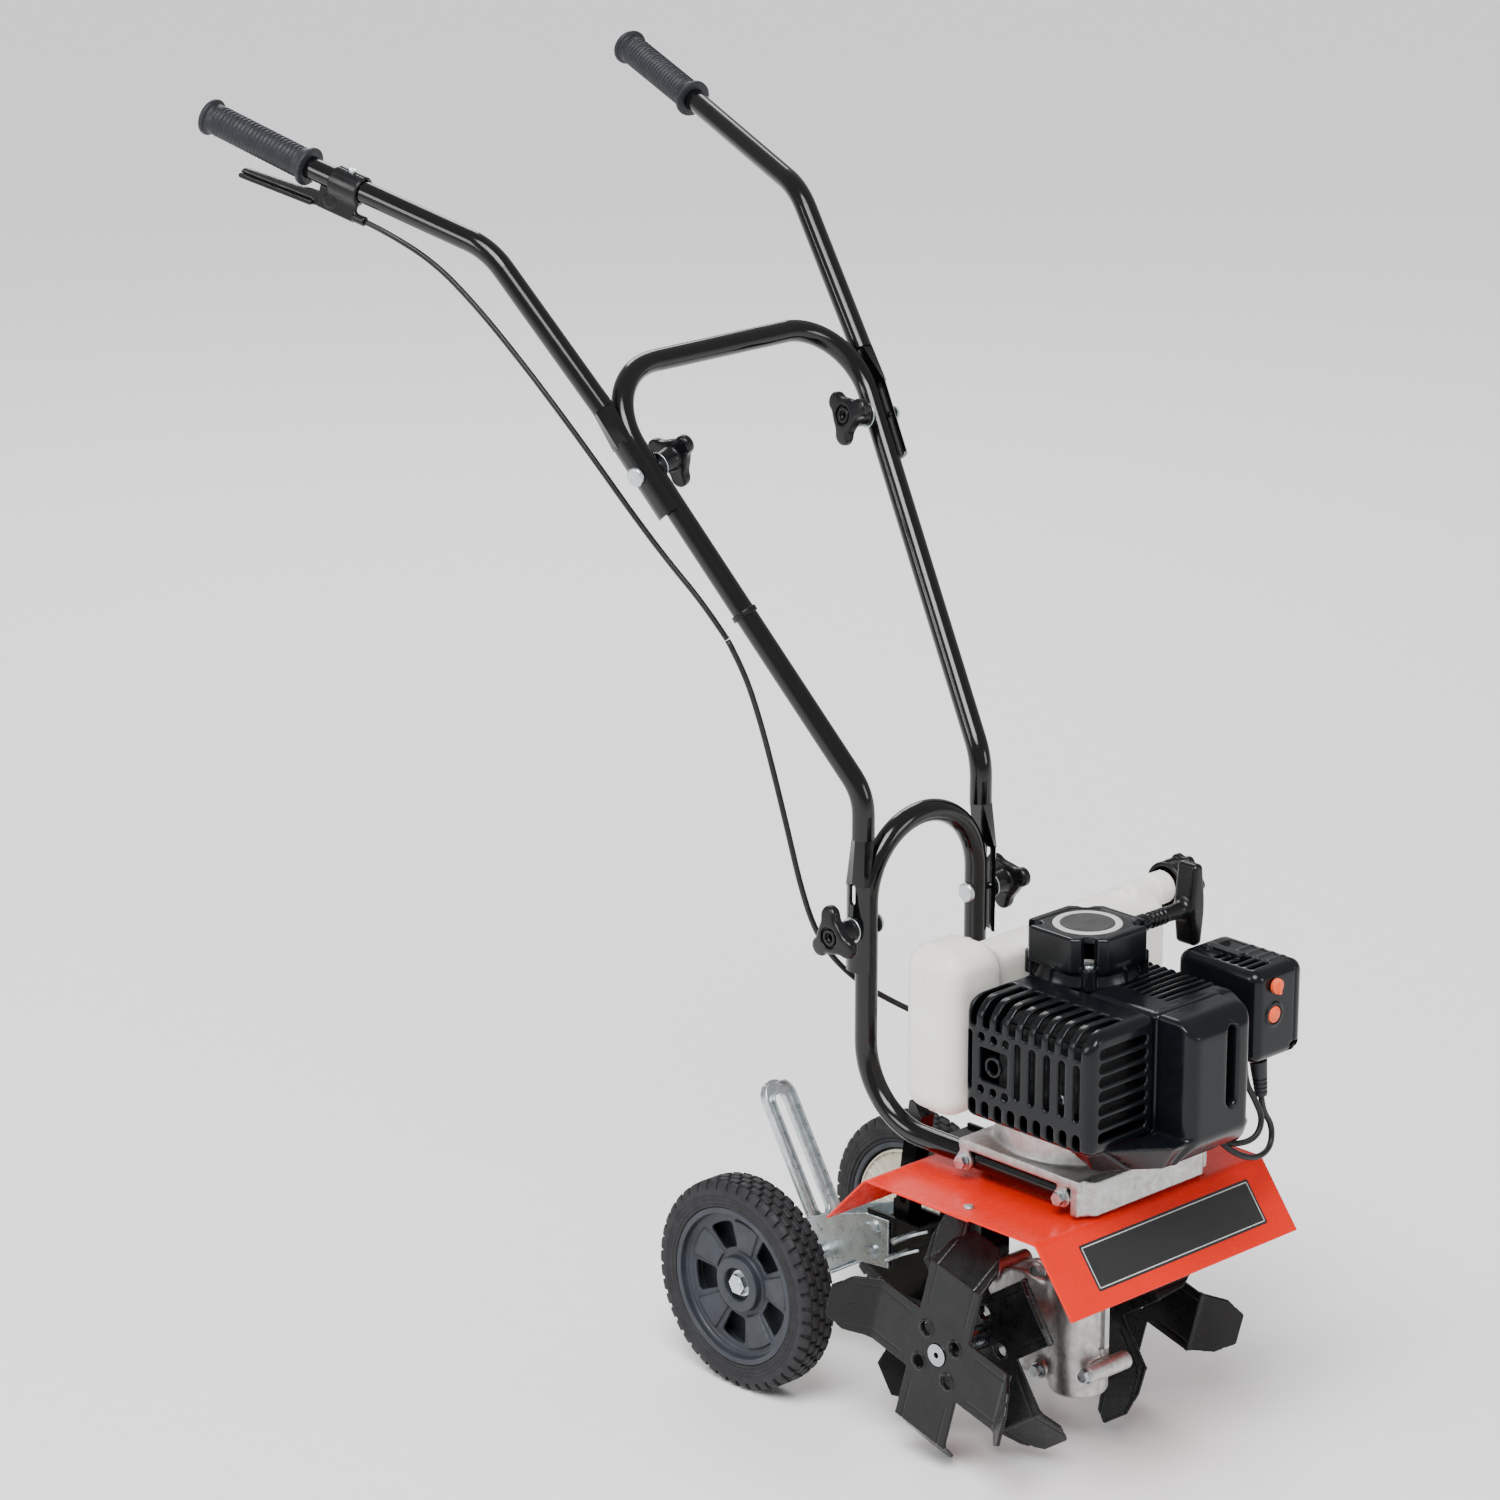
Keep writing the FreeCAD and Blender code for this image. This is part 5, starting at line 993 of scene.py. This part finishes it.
def rounded_plate(width, height, radius, thickness, steps=4):
    """A flat plate with rounded corners, from z 0 to its thickness."""
    rim = []
    for turn, (sx, sy) in enumerate(((1, 1), (-1, 1), (-1, -1), (1, -1))):
        for step in range(steps + 1):
            angle = math.pi / 2 * (turn + step / steps)
            rim.append((sx * (width / 2 - radius) + radius * math.cos(angle),
                        sy * (height / 2 - radius) + radius * math.sin(angle)))
    count = len(rim)
    points = [(px, py, 0.0) for px, py in rim] + [(px, py, thickness) for px, py in rim]
    faces = [list(range(count))[::-1], list(range(count, 2 * count))]
    for index in range(count):
        after = (index + 1) % count
        faces.append([index, after, after + count, index + count])
    return np.array(points), faces


def make_guards():
    """Both guards, and the front one's blank plate with its pale border."""
    make_guard("front_guard", [(-164.3, 194.1), (-123.9, GUARD_Z), (-29.0, GUARD_Z)], [])
    low = GUARD_Z - GUARD_T
    make_guard("rear_guard", [(-49.0, low), (67.5, low), (111.2, 200.0)], [(83, 20, 42)])
    plate = rounded_plate(PLATE_W, PLATE_H, 2.0, PLATE_T)
    middle = Vector((7, -123.9, GUARD_Z)) + FLAP * 33.5 + FLAP_FACE * 0.12
    place = stand(middle, FLAP_FACE, X)
    plant(plate, "front_plate", "red_paint", "chassis", material="label_dark", place=place)
    half_w, half_h, line = 99.5, 17.5, 0.9
    border = ((0, half_h, 2 * half_w, line), (0, -half_h, 2 * half_w, line),
              (half_w, 0, line, 2 * half_h), (-half_w, 0, line, 2 * half_h))
    points, faces = [], []
    for x0, y0, w, h in border:
        made, made_faces = rounded_plate(w, h, 0.2, 0.15)
        offset = len(points)
        points += (made + np.array((x0, y0, 0.42))).tolist()
        faces += [[index + offset for index in face] for face in made_faces]
    plant((np.array(points), faces), "front_plate_border", "red_paint", "chassis",
          material="ring_pale", place=place)


# ---- tines ---------------------------------------------------------------
def shape_star():
    """A four-blade star about the x axis: blades 0 and 2 bend inward, 1 and 3 outward."""
    clay, x, y, z = fresh_clay((-30, -107, -107), (32, 107, 107), 0.8)
    radius = far(y, z)
    clay.add(beyond(radius - 33, span(x, 0, TINE_T, 0.4)) - 0.4)
    for step in range(4):
        turn = math.radians(TINE_LEAN + 90 * step)
        along = -y * math.sin(turn) + z * math.cos(turn)
        across = np.abs(y * math.cos(turn) + z * math.sin(turn))
        length = span(along, 10, TINE_FOLD + 0.6)
        flat = beyond(across - TINE_HALF + 0.5, span(x, 0, TINE_T, 0.5), length) - 0.5
        out = 1 if step % 2 else -1
        sine, cosine = out * math.sin(TINE_BEND), math.cos(TINE_BEND)
        root = 0 if out < 0 else TINE_T * (1 - cosine)
        reach = (x - root) * sine + (along - TINE_FOLD + 0.4) * cosine
        thick = (x - root) * cosine - (along - TINE_FOLD + 0.4) * sine
        beyond_neck = reach - 0.6 * TINE_REACH
        taper = np.where(beyond_neck < 0, 29.0 - 0.1 * reach, 26.6 - 0.73 * beyond_neck)
        tip = beyond(across - taper + 0.5, span(thick, 0, TINE_T, 0.5), span(reach, 0, TINE_REACH)) - 0.5
        blade = merge(flat, tip, 2.5)
        line = both(np.abs(across - 21.0) - 0.5, -blade - 0.55)
        blade = -merge(-blade, both(line, 40 - along), 0.6)
        clay.add(blade, 0.5)
    for step in range(4):
        turn = math.radians(TINE_LEAN + 45 + 90 * step)
        hole = far(y + HUB_HOLE_RING * math.sin(turn), z - HUB_HOLE_RING * math.cos(turn))
        clay.add(beyond(np.abs(hole - 6.9) - 0.5, span(x, -0.4, TINE_T + 0.9)) - 0.4, 0.8)
        clay.cut(both(hole - HUB_HOLE, np.abs(x) - 8))
    clay.add(beyond(radius - 13.7, span(x, -21, 1)) - 0.8, 1.5)
    clay.cut(both(radius - 9.6, np.abs(x) - 30))
    return surface(clay)


def make_tines():
    """Two stars on each side, the inner one turned against the outer one."""
    star = shape_star()
    for name, side in SIDES:
        outer = on_side(side, TINE_OUTER_X - TINE_T, 0, TINE_Z)
        plant(star, "tines_outer_" + name, "tine_black", "tine_rotor", ["tines_" + name], place=outer)
        turned = Matrix.Rotation(math.pi / 2 + INNER_TURN, 4, "X")
        inner = on_side(side, TINE_INNER_X - TINE_T, 0, TINE_Z) @ turned
        plant(star, "tines_inner_" + name, "tine_black", "tine_rotor", ["tines_" + name], place=inner)


# ---- wheels --------------------------------------------------------------
def shape_tyre():
    """Solid rubber tyre with block tread; x runs from its inner to its outer side."""
    w = WHEEL_W
    clay = Clay((0, -94, -94), (w, 94, 94), 0.85)
    x = clay.x
    radius = far(clay.y, clay.z)
    angle = np.arctan2(clay.z, clay.y)
    body = beyond(span(x, 0.6, w - 0.6, 8), span(radius, 66.0, TYRE_R, 8)) - 8
    clay.add(body)
    skin = -body - 2.6
    edges = (-5, *TREAD_ROWS, 45)
    for row, (low, high) in enumerate(zip(edges, edges[1:])):
        shift = 0.5 * (row % 2)
        phase = repeat(angle, TREAD_BLOCKS, shift) * 2 * math.pi * 92 / TREAD_BLOCKS
        slant = phase - 1.5 - 0.15 * np.abs(x - (low + high) / 2)
        clay.cut(beyond(slant, span(x, low, high), skin, 86.0 - radius), 0.5)
    for column in TREAD_ROWS:
        clay.cut(beyond(np.abs(x - column) - 0.8, skin + 0.2, 86 - radius), 0.5)
    for ring, deep in ((80.2, 0.9), (77.0, 0.9), (73.2, 1.3)):
        clay.cut(beyond(np.abs(radius - ring) - 0.6, -body - deep, radius - 82.6), 0.5)
    clay.cut(radius - RIM_R)
    return surface(clay)


def shape_hub():
    """Dished plastic wheel: rim, floor with five windows and raised spokes, a stepped boss, and a dark plate
    behind the windows that is painted shade.
    """
    w = WHEEL_W
    clay = Clay((0, -71, -71), (w, 71, 71), 0.8)
    x = clay.x
    radius = far(clay.y, clay.z)
    clay.add(beyond(span(radius, 64.5, 69.9, 0.8), span(x, 1.6, w - 1.6, 0.8)) - 0.8)
    floor = w - 15 + 0.10 * (radius - 30)
    clay.add(beyond(np.abs(x - floor) - 1.6, radius - 67), 5.0)
    angle = np.arctan2(clay.z, clay.y)
    sector = repeat(angle, SPOKES, 0.62) * 2 * math.pi / SPOKES
    gap = (sector - math.radians(15)) * radius
    window = beyond(gap + 3, span(radius, 32, 55, 3)) - 3
    clay.cut(both(window, np.abs(x - floor) - 6), 1.0)
    spoke = (math.radians(20.5) - sector) * radius
    clay.add(beyond(spoke + 1.5, span(radius, 29, 58, 1.5), np.abs(x - floor - 1.8) - 1.2) - 1.0, 1.0)
    # a dark plate behind the windows: painted shade for the shadow inside the wheel, which hides the cream
    # disc behind it
    clay.add(beyond(radius - 64, span(x, 8.0, 10.5)), 2.0)
    clay.add(beyond(np.abs(radius - 19.6) - 3.6, span(x, w - 18, w - 7)) - 1.2, 3.0)
    clay.add(disc(clay.y, clay.z, x, 15.5, 0.2, w - 14, 0.5), 1.0)
    clay.cut(disc(clay.y, clay.z, x, AXLE_GAP, -2, w + 2))
    clay.add(beyond(np.abs(radius - 61.5) - 0.6, np.abs(x - floor - 1.5) - 0.8) - 0.4, 0.8)
    return surface(clay)


def shape_inner_disc():
    """Ribbed disc that closes a wheel on its inner side."""
    clay = Clay((0, -64, -64), (7, 64, 64), 0.75)
    x = clay.x
    radius = far(clay.y, clay.z)
    angle = np.arctan2(clay.z, clay.y)
    clay.add(beyond(span(radius, 14.5, 62.5), span(x, 4.2, 6.4)))
    fan = repeat(angle, DISC_RIBS) * 2 * math.pi * radius / DISC_RIBS
    clay.add(beyond(fan - 0.6, span(radius, 17, 61), span(x, 2.4, 5)), 1.0)
    for ring in (16.0, 38.0, 61.0):
        clay.add(beyond(np.abs(radius - ring) - 0.8, span(x, 2.0, 5)), 1.0)
    return surface(clay)


def make_wheels():
    """Tyre, hub and inner disc of both wheels."""
    tyre, hub, inner = shape_tyre(), shape_hub(), shape_inner_disc()
    for name, side in SIDES:
        place = on_side(side, WHEEL_X - WHEEL_W, WHEEL_Y, WHEEL_Z)
        body = "wheel_" + name
        plant(tyre, "tread_" + name, "tyre_rubber", body, ["tyre_" + name], place=place)
        plant(hub, "rim_" + name, "hub_plastic", body, ["wheel_hub_" + name], place=place)
        plant(inner, "rim_disc_" + name, "hub_plastic", body, material="disc_cream", place=place)


# ---- knobs, grips and throttle -------------------------------------------
def shape_knob():
    """Three-lobed knob about z, from its seat at 0 to its face."""
    clay, x, y, z = fresh_clay((-29, -29, 0), (29, 29, 28.5), 0.55)
    radius = far(x, y)
    lobes = radius - 14.5
    for step in range(3):
        angle = 2 * math.pi * step / 3
        tip = (KNOB_TIP * math.cos(angle), KNOB_TIP * math.sin(angle))
        lobes = merge(lobes, groove(x, y, (0, 0), tip, KNOB_LOBE), 5.0)
    crown = 26.5 - 0.004 * radius ** 2
    clay.add(beyond(lobes + 3.2, np.abs(z - (15.2 + crown) / 2) - (crown - 15.2) / 2 + 3.2) - 3.2)
    clay.add(beyond(radius - 10.2 + 0.10 * (15 - z), span(z, 0.4, 17)) - 0.4, 3.0)
    clay.cut(beyond(radius - 9.2, 23.0 - z), 0.8)
    clay.add(beyond(np.abs(radius - 5.6) - 0.9, span(z, 20, 25.2)) - 0.4, 0.8)
    clay.cut(both(radius - 3.1, np.abs(z) - 40))
    return surface(clay)


def ring_shape(inner, outer, low, high, step=0.4):
    """A flat ring about z."""
    clay = Clay((-outer, -outer, low), (outer, outer, high), step)
    clay.add(disc(clay.x, clay.y, clay.z, outer, low, high, 0.2))
    clay.cut(disc(clay.x, clay.y, clay.z, inner, low - 5, high + 5))
    return surface(clay)


def make_knobs():
    """The four clamping knobs with their washers, each turned as it was last tightened."""
    knob = shape_knob()
    washer = ring_shape(3.3, 11.0, -1.3, -0.1)
    leg = (U_CORNER - KNEE).normalized()
    joint = KNEE.lerp(U_CORNER, KNOB_SHARE)
    out = (X - leg * leg.x).normalized()
    crush = CRUSH_R - math.sqrt(CRUSH_R ** 2 - CRUSH_HALF ** 2)
    low = Vector((ARCH_TUBE_X + crush + 1.8, ARCH_Y, FOLD_Z))
    high = joint - out * (TUBE_R + 1.5)
    places = (("knob_lower_left", low, X, 100), ("knob_lower_right", flip(low), -X, 40),
              ("knob_upper_left", high, -out, 90), ("knob_upper_right", flip(high), -flip(out), 75))
    for name, seat, way, turn in places:
        side = way.cross(Z).normalized()
        side.rotate(Matrix.Rotation(math.radians(turn), 3, way))
        place = stand(seat, way, side)
        plant(knob, name + "_body", "knob_black", name, [name], place=place)
        plant(washer, name + "_washer", "zinc_steel", name, place=place)


def make_trim():
    """Small trim: the cable tie, the right handle's screw, and a nut behind the muffler guard."""
    leg = flip(U_CORNER - KNEE).normalized()
    tie = ring_shape(TUBE_R + 0.1, TUBE_R + 1.8, -2.4, 2.4)
    place = stand(flip(KNEE.lerp(U_CORNER, TIE_SHARE)), leg, leg.cross(Z).normalized())
    plant(tie, "cable_tie", "knob_black", "lower_handle", place=place)
    way = flip(GRIP_IN - UPPER_KNEE).normalized()
    up = (Z - way * way.z).normalized()
    screw = ring_shape(0.9, 3.6, 11.6, 14.6)
    place = stand(flip(GRIP_IN) - way * BLOCK_BACK, up, way)
    plant(screw, "handle_screw", "zinc_steel", "upper_handle_right", place=place)
    nut = ring_shape(1.9, 4.4, 104.1, 107.0)
    place = stand((0, -120.5, 361.7), -X, Z)
    plant(nut, "muffler_nut", "zinc_steel", "chassis", place=place)


def make_grips():
    """Ribbed grips with a flange at the inner end and a cap at the outer end."""
    way = (GRIP_END - GRIP_IN).normalized()
    length = (GRIP_END - GRIP_IN).length - 8
    clay = Clay((-17.5, -17.5, 0), (17.5, 17.5, length), 0.6)
    radius = far(clay.x, clay.y)
    z = clay.z
    ribs = 0.55 * np.cos(2 * math.pi * z / GRIP_PITCH) * (np.abs(z - length / 2) < length / 2 - 12)
    clay.add(both(radius - GRIP_R - ribs, span(z, 0.3, length - 0.3)))
    clay.add(disc(clay.x, clay.y, z, 16.8, 0.1, 4.4, 1.4), 2.0)
    clay.add(disc(clay.x, clay.y, z, 16.2, length - 5, length - 0.1, 2.0), 2.0)
    clay.cut(disc(clay.x, clay.y, z, TUBE_R + 0.05, -5, length - 4))
    grip = surface(clay)
    side = way.cross(Z).normalized()
    left = stand(GRIP_IN + way * 8, way, side)
    for name, sign in SIDES:
        place = Matrix.Diagonal((sign, 1, 1, 1)) @ left
        body = "upper_handle_" + name
        plant(grip, "grip_cover_" + name, "grip_rubber", body, ["grip_" + name], place=place)


def make_throttle():
    """Throttle block clamped on the right handle, and its finger lever."""
    origin, way, down = throttle_frame()
    place = stand(origin, way, down)
    clay, x, y, z = fresh_clay((-14, -14, -27), (36, 14, 27), 0.6)
    clay.add(disc(x, y, z, 12.6, -15, 15, 1.5))
    clay.add(block(x, y, z, (2, 27, 3, 7, -15, 25), 1.5), 3.0)
    clay.add(disc(x - 22, y - 5, z, 4.2, -26, -14, 1.0), 2.0)
    clay.add(disc(x - 17, z - 12, y, 6.0, -5, 7.6, 1.0), 1.5)
    clay.cut(disc(x, y, z, TUBE_R + 0.05, -40, 40))
    clay.cut(block(x, y, z, (-20, -6, -1, 1, -20, 20)))
    cast(clay, "throttle_block", "knob_black", "upper_handle_right", ["throttle_bracket"], place=place)
    clay = Clay((10, -8, -2), (36, 8, 112), 0.6)
    x, y, z = clay.x - 17, clay.y, clay.z - 12
    plate = groove(z, x, (-3, 3), (92, 12), 5.0) - 3.0 * np.clip((40 - z) / 40, 0, 1)
    clay.add(beyond(plate + 1, span(y, -1.1, 2.1)) - 0.8)
    clay.add(beyond(groove(z, x, (20, 9.5), (94, 13.5), 1.3), np.abs(y) - 6.3) - 1.0, 2.0)
    clay.cut(far(x, z) - 2.5)
    cast(clay, "finger_lever", "knob_black", "throttle_lever", ["throttle_lever"], place=place)


# ---- zinc arm ------------------------------------------------------------
def make_carriage():
    """Height arm with a rimmed slot, the cheeks of the wheel carriage, and its rolled barrel."""
    length = (ARM_TOP - ARM_FOOT).length
    up = (ARM_TOP - ARM_FOOT).normalized()
    back = Vector((0, up.z, -up.y))
    clay, x, y, z = fresh_clay((-21, 150, 76), (21, 330, 245), 0.75)
    along, depth, _ = clay.local(ARM_FOOT, up, back)
    arm = groove(x, along, (0, -4), (0, length - 18), 17.6)
    sheet = beyond(arm + 0.4, span(depth, 0, 2.5, 0.6)) - 0.6
    clay.add(sheet)
    rim = beyond(np.abs(arm + 1.3) - 0.9, span(depth, -6, 2, 0.4), -22 - along) - 0.4
    clay.add(both(rim, along - 129), 1.2)
    hole = groove(x, along, (0, 14), (0, length - 20), 6.0)
    clay.add(beyond(np.abs(hole - 1.4) - 0.8, span(depth, -3.5, 2)) - 0.4, 1.2)
    clay.cut(both(hole, np.abs(depth) - 15))
    cheek = polygon(y, z, CHEEKS)
    clay.add(beyond(cheek + 1.5, np.abs(np.abs(x) - 19.05) - 0.8) - 0.5)
    clay.add(block(x, y, z, (-20.3, 20.3, 222, 246, 78.5, 81), 0.6), 1.5)
    barrel = beyond(far(x, depth + 1) - 6.2, span(along, -24, 4)) - 0.6
    clay.add(barrel, 1.5)
    clay.cut(disc(y - WHEEL_Y, z - WHEEL_Z, x, 6.0, -30, 30))
    for row, level, radius in CHEEK_HOLES:
        clay.cut(disc(y - row, z - level, x, radius, -30, 30))
    cast(clay, "height_arm", "zinc_steel", "wheel_carriage", ["wheel_bracket"])


# ---- everything ----------------------------------------------------------
def colour_cad():
    """Gives each CAD node the finish of its slot."""
    for part in frame["record"]["subparts"]:
        node = frame["nodes"][part["node"]]
        finish = "burnt_steel" if part["node"] in ("muffler", "cylinder") else part["material_slot"]
        node.data.materials.clear()
        node.data.materials.append(MATERIALS[finish])


def make_floor():
    """Plain pale floor."""
    floor = painted("floor", (0.92, 0.92, 0.92), 0.6, 0.01, 0.0, coat=0.0, specular=0.1)
    mesh = bpy.data.meshes.new("floor")
    corners = [(sx * FLOOR_HALF, sy * FLOOR_HALF, 0) for sx, sy in ((-1, -1), (1, -1), (1, 1), (-1, 1))]
    mesh.from_pydata(corners, [], [(0, 1, 2, 3)])
    mesh.materials.append(floor)
    ground = add_object("floor", mesh)


def make_lights():
    """Soft studio light: an even world, a wide sun and four lamps."""
    world = bpy.data.worlds.new("studio")
    world.use_nodes = True
    background = world.node_tree.nodes["Background"]
    background.inputs["Color"].default_value = (1.0, 1.0, 1.0, 1.0)
    background.inputs["Strength"].default_value = WORLD_LIGHT
    bpy.context.scene.world = world
    sun = add_object("sun", bpy.data.lights.new("sun", "SUN"))
    sun.data.energy = SUN_LIGHT
    sun.data.angle = math.radians(SUN_ANGLE)
    aim(sun, SUN_AHEAD)
    for name, place, size, power in LAMPS:
        data = bpy.data.lights.new(name, "AREA")
        data.shape = "SQUARE"
        data.size = size
        data.energy = power
        lamp = add_object(name, data)
        lamp.location = place
        aim(lamp, LAMP_TARGET - Vector(place))


MATERIALS.update(make_materials())
for make in (make_camera, make_cords, make_muffler_cover, make_shroud_cover, make_starter,
             make_starter_disc, make_air_cleaner, make_controls, make_tank, make_cap, make_pull_grip,
             make_boot, make_deck, make_gear_case, make_guards, make_tines, make_wheels, make_knobs,
             make_trim, make_grips, make_throttle, make_carriage, colour_cad, make_floor,
             make_lights):
    make()
